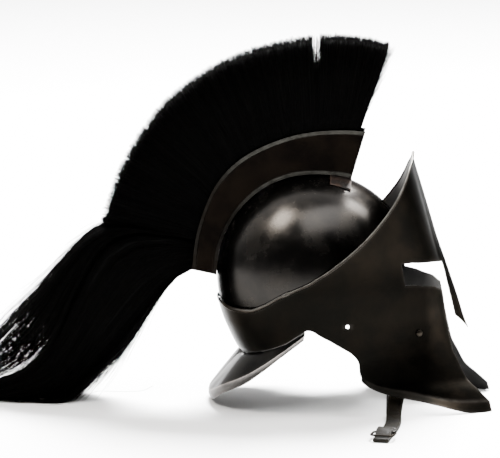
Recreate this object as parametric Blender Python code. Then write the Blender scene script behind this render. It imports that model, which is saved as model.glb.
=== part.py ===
# A crested hoplite helmet with a hair plume and a leather chin strap, standing on a table.
# +X is the helmet's front, +Y its left side, +Z up. The origin is in the middle of its footprint.

import math

import bpy
import numpy as np

MM = 0.001

# Driving sizes

brow_height = 299 * MM
face_reach = 200 * MM
half_width = 99 * MM
sheet_wall = 1.4 * MM
piece_gap = 0.35 * MM
widest_at = -5 * MM

skull_back_gap = 8.3 * MM
skull_side_gap = 3 * MM
skull_middle = -0.04 * face_reach
skull_back = 0.62 * face_reach - skull_back_gap
skull_front = 0.605 * face_reach
skull_side = half_width - skull_side_gap
skull_waist = brow_height * 155 / 299
skull_rise = brow_height * 122 / 299

skull_clearance = 0.9 * MM
guard_seam = 0.8 * MM
rim_radius = 1.6 * MM
rim_nape_depth = 1.0 * MM
rim_nape_height = 2.7 * MM
rim_inset = 0.6 * MM
guard_flange = 4.5 * MM
lip_spread = 8 * MM

box_half_width = 15.5 * MM
box_wall = 1.4 * MM
hair_in_box = 13.75 * MM

strap_width = 18 * MM
strap_thickness = 1.9 * MM
buckle_wire = 1.3 * MM

# Where the helmet's own middle stands in the part's frame

helmet_at_x = 127.6 * MM
helmet_at_y = 62.7 * MM

# Plan of the shell at each height. Heights are shares of brow_height, back and front
# shares of face_reach, width a share of half_width, and keel a length in millimetres.

SHELL_COLUMNS = ("height", "back", "front", "width", "roundness", "keel")
SHELL_PLAN = (
    (0.000, 0.300, 1.330, 0.980, 2.00, 0.0),
    (0.040, 0.350, 1.245, 0.970, 1.95, 0.0),
    (0.080, 0.390, 1.155, 0.960, 1.90, 0.0),
    (0.130, 0.430, 1.055, 0.955, 1.75, 0.0),
    (0.194, 0.456, 0.970, 0.950, 1.68, 1.0),
    (0.234, 0.503, 0.920, 0.955, 1.65, 4.0),
    (0.301, 0.553, 0.870, 0.965, 1.62, 5.0),
    (0.348, 0.583, 0.842, 0.975, 1.62, 5.0),
    (0.415, 0.610, 0.811, 0.990, 1.65, 5.0),
    (0.495, 0.620, 0.773, 1.000, 1.70, 4.5),
    (0.572, 0.620, 0.736, 1.000, 1.75, 4.0),
    (0.669, 0.620, 0.689, 1.000, 1.85, 3.0),
    (0.756, 0.620, 0.652, 1.000, 1.92, 2.5),
    (0.876, 0.620, 0.600, 1.000, 2.00, 2.0),
    (1.000, 0.620, 0.545, 1.000, 2.00, 1.5),
)

# Edges of the shell from the nape (0 degrees) to the front ridge (180), as shares of brow_height.
# Between top and bottom run the upper and the lower line of the eye opening.

EDGE_COLUMNS = ("angle", "rim", "eye_top", "eye_bottom", "bottom")
SHELL_EDGES = (
    (0.0, 0.415, 0.345, 0.275, 0.200),
    (20.0, 0.403, 0.340, 0.277, 0.215),
    (34.0, 0.395, 0.340, 0.285, 0.230),
    (50.0, 0.402, 0.350, 0.300, 0.247),
    (61.0, 0.430, 0.375, 0.320, 0.265),
    (71.0, 0.470, 0.405, 0.345, 0.288),
    (80.0, 0.500, 0.440, 0.380, 0.322),
    (87.0, 0.523, 0.460, 0.402, 0.345),
    (97.0, 0.564, 0.480, 0.400, 0.313),
    (104.0, 0.604, 0.500, 0.392, 0.278),
    (109.5, 0.640, 0.515, 0.400, 0.244),
    (111.2, 0.652, 0.524, 0.405, 0.220),
    (112.8, 0.662, 0.530, 0.412, 0.154),
    (116.0, 0.684, 0.543, 0.430, 0.128),
    (121.0, 0.720, 0.562, 0.455, 0.106),
    (129.0, 0.775, 0.585, 0.495, 0.085),
    (136.0, 0.822, 0.597, 0.511, 0.064),
    (142.0, 0.858, 0.596, 0.507, 0.050),
    (148.0, 0.893, 0.591, 0.498, 0.043),
    (154.0, 0.924, 0.588, 0.493, 0.041),
    (160.0, 0.951, 0.585, 0.475, 0.039),
    (173.0, 0.985, 0.577, 0.487, 0.000),
    (180.0, 1.005, 0.575, 0.487, 0.000),
)

# Angle of the cheek's front edge and of the nasal's edge at each height.

FRONT_COLUMNS = ("height", "cheek", "nasal")
FRONT_EDGES = (
    (0.000, 144.5, 168.5),
    (0.042, 145.8, 168.5),
    (0.084, 147.2, 168.5),
    (0.118, 148.3, 168.5),
    (0.164, 150.4, 168.5),
    (0.221, 152.8, 168.5),
    (0.291, 155.7, 168.5),
    (0.361, 157.7, 168.8),
    (0.488, 160.0, 171.0),
    (0.575, 160.0, 173.0),
    (1.000, 160.0, 173.0),
)
nasal_corner = 0.361
nasal_tip = 0.302

# Degrees by which the rear corner of the cheek's lip lies behind the arch above it.

lip_corner_slide = 1.6

# Neck guard from the nape to the side arch: how far it flares and drops below the shell,
# and how deep its turned-down lip is, in millimetres.

GUARD_COLUMNS = ("angle", "flare", "drop", "lip")
NECK_GUARD = (
    (0.0, 42.0, 45.5, 14.0),
    (15.0, 39.2, 44.2, 11.6),
    (30.0, 35.0, 36.8, 10.2),
    (45.0, 28.2, 27.8, 10.0),
    (60.0, 19.6, 16.0, 7.4),
    (72.0, 12.5, 7.0, 5.4),
    (80.0, 8.0, 4.2, 5.0),
    (86.0, 4.5, 2.0, 4.6),
)

# How far the cheek's turned-out lip drops, in millimetres.

LIP_COLUMNS = ("angle", "depth")
LIP_DEPTH = (
    (112.0, 3.2),
    (116.5, 5.6),
    (121.0, 6.6),
    (136.0, 7.4),
    (142.0, 9.2),
    (148.0, 11.6),
    (154.0, 12.2),
    (160.0, 10.2),
)

# How far the turned-out edge of the skull bowl lies below the rim, in millimetres.

LEDGE_COLUMNS = ("angle", "depth")
SKULL_LEDGE = (
    (0.0, 5.0),
    (90.0, 5.5),
    (108.0, 8.0),
    (117.0, 13.0),
    (128.0, 29.0),
    (139.0, 46.0),
    (153.0, 70.0),
    (167.0, 84.0),
    (180.0, 92.0),
)

# Side view of the crest box from its front end to its rear end, in millimetres, for a helmet
# of the reach and brow height named here. The fan and the tail below are drawn for the same.

crest_drawn_for = 200 * MM
crest_drawn_high = 299 * MM

BOX_COLUMNS = ("along", "inner_x", "inner_z", "outer_x", "outer_z")
CREST_BOX = (
    (0.00, 38.2, 274.6, 54.0, 329.0),
    (0.10, 17.9, 277.8, 30.0, 330.5),
    (0.20, -4.0, 278.8, 4.0, 329.5),
    (0.30, -26.9, 277.0, -26.0, 325.0),
    (0.40, -48.5, 270.9, -56.0, 315.5),
    (0.50, -69.9, 259.8, -84.0, 302.0),
    (0.60, -89.0, 243.5, -108.0, 283.5),
    (0.70, -104.8, 223.5, -127.0, 258.5),
    (0.80, -116.0, 201.2, -140.0, 228.5),
    (0.90, -122.6, 177.7, -149.0, 195.5),
    (1.00, -124.6, 155.0, -153.0, 161.0),
)

# Outer edge of the hair fan from front to rear, in millimetres, with the half width there.

FAN_COLUMNS = ("along", "tip_x", "tip_z", "half_width")
HAIR_FAN = (
    (0.00, 78.0, 433.0, 17.0),
    (0.10, 44.0, 440.5, 20.0),
    (0.20, 8.0, 442.0, 22.0),
    (0.30, -32.0, 437.5, 23.0),
    (0.40, -72.0, 428.5, 23.0),
    (0.50, -112.0, 414.0, 23.0),
    (0.60, -150.0, 392.0, 23.0),
    (0.70, -186.0, 363.0, 23.0),
    (0.80, -216.0, 325.0, 22.0),
    (0.90, -244.0, 276.0, 20.0),
    (1.00, -262.0, 221.0, 17.0),
)
fan_end_along = 0.89
split_along = 0.2333
split_depth = 0.27

# Loose tail: upper and lower edge in side view and half width, in millimetres.

TAIL_COLUMNS = ("along", "upper_x", "upper_z", "lower_x", "lower_z", "half_width")
HAIR_TAIL = (
    (0.00, -131.5, 185.6, -130.5, 166.0, 13.8),
    (0.07, -152.0, 197.0, -147.0, 167.0, 13.8),
    (0.12, -167.0, 200.5, -158.5, 162.5, 15.0),
    (0.18, -187.0, 204.2, -172.0, 149.0, 19.5),
    (0.28, -222.0, 210.7, -190.0, 129.0, 25.0),
    (0.39, -257.0, 211.0, -211.0, 100.0, 30.0),
    (0.52, -300.0, 177.0, -240.0, 63.0, 34.0),
    (0.64, -334.0, 137.0, -272.0, 31.0, 38.0),
    (0.76, -371.0, 100.0, -312.0, -1.0, 40.0),
    (0.86, -407.0, 60.0, -366.0, -5.0, 36.0),
    (0.94, -440.0, 28.0, -420.0, -5.0, 26.0),
    (1.00, -462.0, 9.0, -455.0, -3.0, 12.0),
)

# Middle line (x, y, z) of the two strap halves, from below the rivet to the buckle, in
# millimetres, for a helmet of the half width strap_drawn_for.

strap_drawn_for = 99 * MM
NEAR_STRAP = (
    (109.0, -60.5, 62.0),
    (100.0, -66.0, 43.0),
    (94.0, -74.5, 24.0),
    (91.0, -88.0, 9.5),
    (90.0, -104.0, 4.0),
    (90.0, -124.0, 3.4),
    (88.5, -146.0, 3.4),
    (86.0, -166.0, 3.6),
    (83.0, -184.0, 4.6),
)
FAR_STRAP = (
    (109.0, 58.5, 60.0),
    (100.0, 57.0, 38.0),
    (94.0, 51.0, 17.0),
    (91.0, 36.0, 3.6),
    (90.0, 14.0, 1.0),
    (90.0, -30.0, 1.0),
    (90.0, -80.0, 1.0),
    (90.0, -124.0, 1.0),
    (88.5, -146.0, 1.0),
    (86.0, -166.0, 1.0),
    (83.0, -184.0, 1.0),
    (79.6, -202.0, 1.0),
)
buckle_at = (80.3, -198.0)
buckle_turn = 0.185
rivet_angle = 141.0
rivet_height = 94 * MM
strap_depth = sheet_wall + 1.2 * MM + 0.5 * strap_thickness
rivet_shank = 1.7 * MM
rivet_hole = 2.1 * MM

# The small round hole in each side, near the arch

side_hole_at = (35.0 * MM, 107.5 * MM)
side_hole = 2.4 * MM


def clear_scene():
    for thing in list(bpy.data.objects):
        bpy.data.objects.remove(thing, do_unlink=True)


def make_material(name, color, metallic, roughness):
    material = bpy.data.materials.new(name)
    material.use_nodes = True
    shader = material.node_tree.nodes["Principled BSDF"]
    shader.inputs["Base Color"].default_value = (*color, 1.0)
    shader.inputs["Metallic"].default_value = metallic
    shader.inputs["Roughness"].default_value = roughness
    return material


def column_of(table, names, name):
    place = names.index(name)
    return np.array([row[place] for row in table], dtype=float)


def smooth_value(table, names, name, where):
    """Read one column of a table at any place, through a smooth curve that keeps its turns."""
    spots = column_of(table, names, names[0])
    values = column_of(table, names, name)
    steps = np.diff(spots)
    rises = np.diff(values) / steps
    slopes = np.zeros(len(spots))
    slopes[0] = rises[0]
    slopes[-1] = rises[-1]
    same_way = rises[:-1] * rises[1:] > 0
    middle = 2 * rises[:-1] * rises[1:] / np.where(same_way, rises[:-1] + rises[1:], 1.0)
    slopes[1:-1] = np.where(same_way, middle, 0.0)
    where = np.clip(np.asarray(where, dtype=float), spots[0], spots[-1])
    left = np.clip(np.searchsorted(spots, where, side="right") - 1, 0, len(spots) - 2)
    width = steps[left]
    part = (where - spots[left]) / width
    keep = 2 * part**3 - 3 * part**2 + 1
    lean = part**3 - 2 * part**2 + part
    pull = part**3 - part**2
    first = keep * values[left] + lean * width * slopes[left]
    return first + (1 - keep) * values[left + 1] + pull * width * slopes[left + 1]


def shell_point(angle, height):
    """Point of the shell's outside at an angle from the nape, in degrees, and a height."""
    share = height / brow_height
    back = smooth_value(SHELL_PLAN, SHELL_COLUMNS, "back", share) * face_reach
    front = smooth_value(SHELL_PLAN, SHELL_COLUMNS, "front", share) * face_reach
    width = smooth_value(SHELL_PLAN, SHELL_COLUMNS, "width", share) * half_width
    power = smooth_value(SHELL_PLAN, SHELL_COLUMNS, "roundness", share)
    keel = smooth_value(SHELL_PLAN, SHELL_COLUMNS, "keel", share) * MM
    turn = np.radians(angle)
    ahead = np.cos(turn) < 0
    power = np.where(ahead, power, 2.0)
    reach = np.where(ahead, front - widest_at, -(back + widest_at))
    x = widest_at + reach * np.abs(np.cos(turn)) ** (2 / power)
    y = width * np.sin(turn).clip(0, 1) ** (2 / power)
    fold = np.clip(1 - y / (14 * MM), 0, 1)
    x = x + np.where(ahead, keel * fold, 0.0)
    return np.stack([x, y, height + 0 * x], axis=-1)


def edge_height(name, angle):
    return smooth_value(SHELL_EDGES, EDGE_COLUMNS, name, angle) * brow_height


def mirrored(points):
    return points * np.array([1.0, -1.0, 1.0])


def full_round(half):
    """Join a half grid (rows, columns, 3) to its mirror image, sharing the nape and ridge columns."""
    other = mirrored(half)[:, -2:0:-1]
    return np.concatenate([half, other], axis=1)


def grid_faces(rows, columns, keep, closed):
    faces = []
    last = columns if closed else columns - 1
    for row in range(rows - 1):
        for column in range(last):
            if keep[row, column]:
                after = (column + 1) % columns
                low = row * columns
                high = low + columns
                faces.append((low + column, low + after, high + after, high + column))
    return faces


def face_normals(points, faces):
    corners = [points[[face[place] for face in faces]] for place in (0, 1, 2, -1)]
    normals = np.cross(corners[2] - corners[0], corners[3] - corners[1])
    lengths = np.linalg.norm(normals, axis=1, keepdims=True)
    return normals / np.maximum(lengths, 1e-12)


def point_normals(points, faces):
    """Direction at each point in which a wall of even thickness grows, longer at a bend."""
    flat = face_normals(points, faces)
    total = np.zeros_like(points)
    for face, normal in zip(faces, flat):
        for corner in face:
            total[corner] += normal
    total /= np.maximum(np.linalg.norm(total, axis=1, keepdims=True), 1e-12)
    least = np.ones(len(points))
    for face, normal in zip(faces, flat):
        for corner in face:
            least[corner] = min(least[corner], float(total[corner] @ normal))
    return total / np.maximum(least, 0.6)[:, None]


def used_only(points, faces):
    used = sorted({corner for face in faces for corner in face})
    place = {old: new for new, old in enumerate(used)}
    return points[used], [tuple(place[corner] for corner in face) for face in faces]


def thickened(points, faces, wall):
    """Close an open sheet into a solid whose other side lies inward by the wall."""
    points, faces = used_only(points, faces)
    count = len(points)
    inner = points - wall * point_normals(points, faces)
    sides = {}
    for face in faces:
        for here, there in zip(face, face[1:] + face[:1]):
            sides[(here, there)] = sides.get((here, there), 0) + 1
    border = [edge for edge in sides if (edge[1], edge[0]) not in sides]
    back = [tuple(corner + count for corner in reversed(face)) for face in faces]
    rim = [(there, here, here + count, there + count) for here, there in border]
    return np.concatenate([points, inner]), faces + back + rim


def add_object(name, points, faces, material):
    placed = np.asarray(points) + np.array([helmet_at_x, helmet_at_y, 0.0])
    mesh = bpy.data.meshes.new(name)
    mesh.from_pydata([tuple(point) for point in placed], [], faces)
    mesh.validate()
    mesh.update()
    mesh.materials.append(material)
    body = bpy.data.objects.new(name, mesh)
    bpy.context.collection.objects.link(body)
    return body


def column_angles(base, height):
    """Shift the columns of the shell so that two of them run along the cheek's and nasal's edges."""
    share = height / brow_height
    cheek = smooth_value(FRONT_EDGES, FRONT_COLUMNS, "cheek", share)
    nasal = smooth_value(FRONT_EDGES, FRONT_COLUMNS, "nasal", share)
    before = 100.0 + (base - 100.0) * (cheek - 100.0) / 60.0
    between = cheek + (base - 160.0) * (nasal - cheek) / 13.0
    after = nasal + (base - 173.0) * (180.0 - nasal) / 7.0
    angle = np.where(base > 100.0, before, base)
    slide = lip_corner_slide * np.exp(-((base - 112.0) / 8.0) ** 2)
    angle = angle - slide * np.clip((0.215 - share) / 0.05, 0, 1)
    angle = np.where(base > 160.0, between, angle)
    return np.where(base > 173.0, after, angle)


SHELL_ANGLES = np.array([
    0.0, 10.0, 20.0, 30.0, 40.0, 50.0, 60.0, 70.0, 79.0, 87.0, 94.0, 101.0, 106.0, 111.2,
    112.8, 116.0, 120.0, 125.0, 130.5, 136.0, 142.0, 148.0, 154.0, 160.0, 166.5, 173.0, 176.5, 180.0,
])


def column_at(angle):
    return int(np.argmin(np.abs(SHELL_ANGLES - angle)))


corner_column = column_at(112.8)
eye_column = column_at(136.0)
cheek_column = column_at(160.0)
nasal_column = column_at(173.0)
brow_rows = 6
eye_rows = 2
cheek_rows = 6


def shell_rows():
    """Heights of the shell's rows at each column, from the rim down to the bottom edge."""
    rim = edge_height("rim", SHELL_ANGLES)
    top = edge_height("eye_top", SHELL_ANGLES)
    low = edge_height("eye_bottom", SHELL_ANGLES)
    bottom = edge_height("bottom", SHELL_ANGLES)
    slope = (SHELL_ANGLES - 173.0) / 7.0
    tip = (nasal_corner + (nasal_tip - nasal_corner) * slope) * brow_height
    bottom = np.where(SHELL_ANGLES > 172.0, tip, bottom)
    rows = [rim + (top - rim) * step / brow_rows for step in range(brow_rows)]
    rows += [top + (low - top) * step / eye_rows for step in range(eye_rows)]
    rows += [low + (bottom - low) * step / cheek_rows for step in range(cheek_rows + 1)]
    return np.array(rows)


def outward(angle, height):
    """Level direction out of the shell."""
    ahead = shell_point(angle + 0.5, height)
    behind = shell_point(angle - 0.5, height)
    along = ahead - behind
    away = np.stack([-along[..., 1], along[..., 0], 0 * along[..., 0]], axis=-1)
    return away / np.linalg.norm(away, axis=-1, keepdims=True)


def lip_row(angles, heights):
    """The turned-out lower lip of the cheek, one row below the shell's last row."""
    start = shell_point(angles, heights)
    grow = np.clip((SHELL_ANGLES - 111.0) / 14.0, 0, 1)
    spread = (lip_spread * (0.35 + 0.65 * grow))[:, None]
    lower = start + outward(angles, heights) * spread
    deep = smooth_value(LIP_DEPTH, LIP_COLUMNS, "depth", SHELL_ANGLES) * MM
    lower[:, 2] = np.maximum(heights - deep, 0.0)
    lower[:, 0] -= 1.2 * MM * np.clip((SHELL_ANGLES - 148.0) / 12.0, 0, 1)
    return lower


def build_face_plate(material):
    heights = shell_rows()
    angles = np.array([column_angles(SHELL_ANGLES, row) for row in heights])
    half = shell_point(angles, heights)
    middle = 0.55 * half[-1] + 0.45 * lip_row(angles[-1], heights[-1])
    half = np.concatenate([half, middle[None], lip_row(angles[-1], heights[-1])[None]])
    half[:, 0, 1] = 0.0
    half[:, -1, 1] = 0.0
    whole = full_round(half)
    rows, columns = whole.shape[:2]
    keep = np.ones((rows - 1, columns), dtype=bool)
    eye = slice(brow_rows, brow_rows + eye_rows)
    below = slice(brow_rows + eye_rows, rows - 1)
    lip = slice(rows - 3, rows - 1)
    for side in (1, -1):
        def block(row_span, first, last):
            for column in range(first, last):
                keep[row_span, column if side > 0 else columns - 1 - column] = False
        block(eye, eye_column, nasal_column)
        block(below, cheek_column, nasal_column)
        block(lip, 0, corner_column)
        block(lip, nasal_column, len(SHELL_ANGLES) - 1)
    faces = grid_faces(rows, columns, keep, True)
    points, faces = thickened(whole.reshape(-1, 3), faces, sheet_wall)
    points[:, 2] = np.maximum(points[:, 2], 0.0)
    return add_object("face_plate", points, faces, material)


def ring_around(center, side, up, radius, count):
    turns = np.arange(count) * 2 * math.pi / count
    return center + radius * (np.cos(turns)[:, None] * side + np.sin(turns)[:, None] * up)


def loop_tube(path, radius, count, closed):
    """Tube of even radius along a path, closed on itself or capped."""
    total = len(path)
    rings = []
    for place in range(total):
        before = path[(place - 1) % total] if closed or place else path[0]
        after = path[(place + 1) % total] if closed or place < total - 1 else path[-1]
        along = (after - before) / np.linalg.norm(after - before)
        side = np.cross(along, (0.0, 0.0, 1.0))
        side /= np.linalg.norm(side)
        up = np.cross(side, along)
        rings.append(ring_around(path[place], side, up, radius, count))
    return lofted(np.array(rings), closed)


def lofted(rings, closed):
    """Closed body through rings of the same point count, with flat caps when it isn't a loop."""
    total, count = rings.shape[:2]
    faces = []
    for ring in range(total if closed else total - 1):
        low = ring * count
        high = ((ring + 1) % total) * count
        for place in range(count):
            after = (place + 1) % count
            faces.append((low + place, low + after, high + after, high + place))
    points = rings.reshape(-1, 3)
    if not closed:
        ends = np.array([rings[0].mean(axis=0), rings[-1].mean(axis=0)])
        first = len(points)
        points = np.concatenate([points, ends])
        for place in range(count):
            after = (place + 1) % count
            faces.append((first, after, place))
            faces.append((first + 1, (total - 1) * count + place, (total - 1) * count + after))
    return points, outward_faces(points, faces)


def outward_faces(points, faces):
    """Turn all faces over if the body would be inside out."""
    volume = 0.0
    for face in faces:
        for place in range(1, len(face) - 1):
            one, two, three = points[face[0]], points[face[place]], points[face[place + 1]]
            volume += float(np.dot(one, np.cross(two, three)))
    if volume < 0:
        return [tuple(reversed(face)) for face in faces]
    return faces


def unit(vectors):
    return vectors / np.maximum(np.linalg.norm(vectors, axis=-1, keepdims=True), 1e-12)


def rim_rings(corners):
    """Oval rings along the shell's upper edge, round at the brow and tall and flat at the nape."""
    heights = shell_rows()[:2]
    angles = np.array([column_angles(SHELL_ANGLES, row) for row in heights])
    half = shell_point(angles, heights)
    half[:, 0, 1] = 0.0
    half[:, -1, 1] = 0.0
    edge, below = full_round(half)
    along = unit(np.roll(edge, -1, axis=0) - np.roll(edge, 1, axis=0))
    climb = edge - below
    climb = unit(climb - along * np.sum(climb * along, axis=1, keepdims=True))
    away = unit(np.cross(climb, along))
    middle = np.array([widest_at, 0.0, 0.0])
    away *= np.sign(np.sum(away * (edge - middle) * np.array([1.0, 1.0, 0.0]), axis=1, keepdims=True))
    base = np.concatenate([SHELL_ANGLES, SHELL_ANGLES[-2:0:-1]])
    nape = np.clip((80.0 - base) / 50.0, 0, 1)[:, None]
    deep = rim_radius + (rim_nape_depth - rim_radius) * nape
    tall = rim_radius + (rim_nape_height - rim_radius) * nape
    path = edge + climb * (tall + piece_gap) + away * (deep - rim_inset)
    turns = np.arange(corners) * 2 * math.pi / corners
    across = np.cos(turns)[None, :, None] * (away * deep)[:, None]
    return path[:, None] + across + np.sin(turns)[None, :, None] * (climb * tall)[:, None]


def build_brow_rim(material):
    points, faces = lofted(rim_rings(6), True)
    return add_object("brow_rim", points, faces, material)


def skull_ray(phi):
    ahead = np.cos(phi) > 0
    length = np.where(ahead, skull_front, skull_back)
    return 1 / np.sqrt((np.cos(phi) / length) ** 2 + (np.sin(phi) / skull_side) ** 2)


def build_skull_bowl(material):
    base = SHELL_ANGLES[[0, 1, 2, 3, 4, 5, 6, 7, 8, 9, 10, 11, 12, 14, 16, 17, 18, 19, 20, 21, 22, 23, 24, 25, 27]]
    rim = edge_height("rim", base)
    depth = smooth_value(SKULL_LEDGE, LEDGE_COLUMNS, "depth", base) * MM
    low = rim - depth
    angle = column_angles(base, low)
    inset = sheet_wall + skull_clearance
    edge = shell_point(angle, low) - outward(angle, low) * inset
    phi = np.arctan2(edge[:, 1], edge[:, 0] - skull_middle)
    ray = skull_ray(phi)
    start = low + 4 * MM + 0.12 * depth
    polar = np.arccos(np.clip((start - skull_waist) / skull_rise, -1, 1))
    rows = []
    for share in (0.13, 0.26, 0.39, 0.52, 0.64, 0.75, 0.85, 0.93, 1.0):
        turn = polar * share
        out = ray * np.sin(turn)
        rows.append(np.stack([skull_middle + out * np.cos(phi), out * np.sin(phi),
                              skull_waist + skull_rise * np.cos(turn)], axis=-1))
    last = rows[-1]
    bend = 0.62 * last + 0.38 * edge
    bend[:, 2] = 0.35 * last[:, 2] + 0.65 * edge[:, 2]
    rows += [bend, edge]
    half = np.array(rows)
    half[:, 0, 1] = 0.0
    half[:, -1, 1] = 0.0
    whole = full_round(half)
    count = whole.shape[1]
    pole = np.array([[skull_middle, 0.0, skull_waist + skull_rise]])
    points = np.concatenate([whole.reshape(-1, 3), pole])
    faces = grid_faces(whole.shape[0], count, np.ones((whole.shape[0], count), dtype=bool), True)
    top = len(points) - 1
    faces += [(top, (column + 1) % count, column) for column in range(count)]
    points, faces = thickened(points, faces, sheet_wall)
    return add_object("skull_bowl", points, faces, material)


def build_neck_guard(material):
    base = np.append(SHELL_ANGLES[:9], 84.5)
    height = edge_height("bottom", base)
    flare = smooth_value(NECK_GUARD, GUARD_COLUMNS, "flare", base)[:, None] * MM
    drop = smooth_value(NECK_GUARD, GUARD_COLUMNS, "drop", base) * MM
    lip = smooth_value(NECK_GUARD, GUARD_COLUMNS, "lip", base) * MM
    away = outward(base, height)
    start = shell_point(base, height)
    start[:, 2] -= guard_seam * (1 + np.clip((base - 70.0) / 14.5, 0, 1))
    steep = 1 + 0.5 * np.clip((70.0 - base) / 40.0, 0, 1)[:, None]
    tuck = (sheet_wall + piece_gap + 0.15 * MM) * steep
    flange = shell_point(base, height + guard_flange) - outward(base, height + guard_flange) * tuck
    rows = [flange, start - away * tuck]
    for share, sink in ((0.12, 0.07), (0.4, 0.34), (0.7, 0.67), (1.0, 1.0)):
        row = start + away * flare * share
        row[:, 2] -= drop * sink
        rows.append(row)
    edge = rows[-1]
    for inward, down in ((0.0, 0.42), (0.26, 1.0)):
        row = edge - away * (lip * inward * np.clip(lip / (12 * MM), 0, 1))[:, None]
        row[:, 2] = edge[:, 2] - lip * down
        rows.append(row)
    half = np.array(rows)
    half[:, 0, 1] = 0.0
    half[..., 2] = np.maximum(half[..., 2], 0.0)
    other = mirrored(half)[:, :0:-1]
    whole = np.concatenate([other, half], axis=1)
    keep = np.ones((whole.shape[0] - 1, whole.shape[1] - 1), dtype=bool)
    faces = grid_faces(whole.shape[0], whole.shape[1], keep, False)
    points, faces = thickened(whole.reshape(-1, 3), faces, sheet_wall)
    return add_object("neck_guard", points, faces, material)


def crest_x(millimetres):
    """Forward place of a point of the crest or the hair, which follows the helmet's reach."""
    return millimetres * MM * face_reach / crest_drawn_for


def crest_z(millimetres):
    """Height of a point of the crest or the hair, which follows the helmet's height."""
    return millimetres * MM * brow_height / crest_drawn_high


def box_line(name, along):
    x = crest_x(smooth_value(CREST_BOX, BOX_COLUMNS, name + "_x", along))
    z = crest_z(smooth_value(CREST_BOX, BOX_COLUMNS, name + "_z", along))
    return np.stack([x, 0 * x, z], axis=-1)


def build_crest_box(material):
    along = np.linspace(0, 1, 21)
    inner = box_line("inner", along)
    outer = box_line("outer", along)
    across = np.array([0.0, 1.0, 0.0])
    side_rows = []
    for share, spread in ((1.0, 1.04), (0.5, 1.0), (0.0, 1.0)):
        middle = inner + (outer - inner) * share
        side_rows.append(middle + across * box_half_width * spread)
    other_rows = [mirrored(row) for row in reversed(side_rows)]
    whole = np.array(side_rows + other_rows)
    rows, columns = whole.shape[:2]
    faces = grid_faces(rows, columns, np.ones((rows - 1, columns - 1), dtype=bool), False)
    points = whole.reshape(-1, 3)
    for column, flip in ((0, False), (columns - 1, True)):
        for low, high in ((0, 5), (1, 4)):
            face = (low * columns + column, (low + 1) * columns + column,
                    (high - 1) * columns + column, high * columns + column)
            faces.append(tuple(reversed(face)) if flip else face)
    faces = [tuple(reversed(face)) for face in faces]
    points, faces = thickened(points, faces, box_wall)
    return add_object("crest_box", points, outward_faces(points, faces), material)


def skull_height(x, y):
    reach = np.where(x > skull_middle, skull_front, skull_back)
    flat = 1 - ((x - skull_middle) / reach) ** 2 - (y / skull_side) ** 2
    return skull_waist + skull_rise * np.sqrt(np.clip(flat, 0, 1))


def build_crest_saddle(material):
    across = np.array([-34.0, -25.0, -16.0, -13.0, -6.5, 0.0, 6.5, 13.0, 16.0, 25.0, 34.0]) * MM
    rings = []
    for x in (crest_x(12.5), crest_x(25.0), crest_x(37.5)):
        floor = skull_height(x, across) + 0.8 * MM
        foot = floor + 2.2 * MM
        under = box_line("inner", np.array([0.0, 0.12]))
        slope = (under[1, 2] - under[0, 2]) / (under[1, 0] - under[0, 0])
        top = under[0, 2] + slope * (x - under[0, 0]) - 0.7 * MM
        upper = np.where(np.abs(across) < 14 * MM, top, foot)
        low = np.stack([x + 0 * across, across, floor], axis=-1)
        high = np.stack([x + 0 * across, across, upper], axis=-1)[::-1]
        rings.append(np.concatenate([low, high]))
    points, faces = plain_loft(np.array(rings))
    return add_object("crest_saddle", points, faces, material)


def plain_loft(rings):
    """Closed body through rings whose end faces are strips, for sections that aren't round."""
    total, count = rings.shape[:2]
    faces = []
    for ring in range(total - 1):
        low = ring * count
        for place in range(count):
            after = (place + 1) % count
            faces.append((low + place, low + after, low + count + after, low + count + place))
    half = count // 2
    for ring, flip in ((0, True), (total - 1, False)):
        low = ring * count
        for place in range(half - 1):
            face = (low + place, low + place + 1, low + count - 2 - place, low + count - 1 - place)
            faces.append(tuple(reversed(face)) if flip else face)
    points = rings.reshape(-1, 3)
    return points, outward_faces(points, faces)


def build_plume_brush(material):
    """Fan of hair in strips: each strip is a rib that stands out from the backing between strips."""
    strips = 30
    rings = []
    for place in range(2 * strips + 1):
        along = place / (2 * strips)
        rib = 1.0 if place % 2 else 0.80
        spot = 0.028 + (fan_end_along - 0.028) * along
        inner = box_line("inner", np.array([spot]))[0]
        outer = box_line("outer", np.array([spot]))[0]
        root = inner + (outer - inner) * 0.14
        mouth = inner + (outer - inner) * 1.02
        tip_x = crest_x(smooth_value(HAIR_FAN, FAN_COLUMNS, "tip_x", along))
        tip_z = crest_z(smooth_value(HAIR_FAN, FAN_COLUMNS, "tip_z", along))
        ragged = 1.0 + 0.010 * math.sin(2.6 * place) - (0.012 if place % 2 == 0 else 0.0)
        ragged -= split_depth if abs(along - split_along) < 0.012 else 0.0
        tip = mouth + (np.array([tip_x, 0.0, tip_z]) - mouth) * ragged
        spread = smooth_value(HAIR_FAN, FAN_COLUMNS, "half_width", along) * MM * rib
        low = hair_in_box
        side = [(root, low), (mouth, low), (mouth + (tip - mouth) * 0.5, 0.5 * (low + spread)),
                (mouth + (tip - mouth) * 0.93, spread), (tip, 0.5 * spread)]
        right = [point + np.array([0.0, -half, 0.0]) for point, half in side]
        left = [point + np.array([0.0, half, 0.0]) for point, half in reversed(side)]
        rings.append(np.array(right + left))
    points, faces = plain_loft(np.array(rings))
    return add_object("plume_brush", points, faces, material)


def tail_edge(name, along):
    x = crest_x(smooth_value(HAIR_TAIL, TAIL_COLUMNS, name + "_x", along))
    z = crest_z(smooth_value(HAIR_TAIL, TAIL_COLUMNS, name + "_z", along))
    return np.array([x, z])


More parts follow.
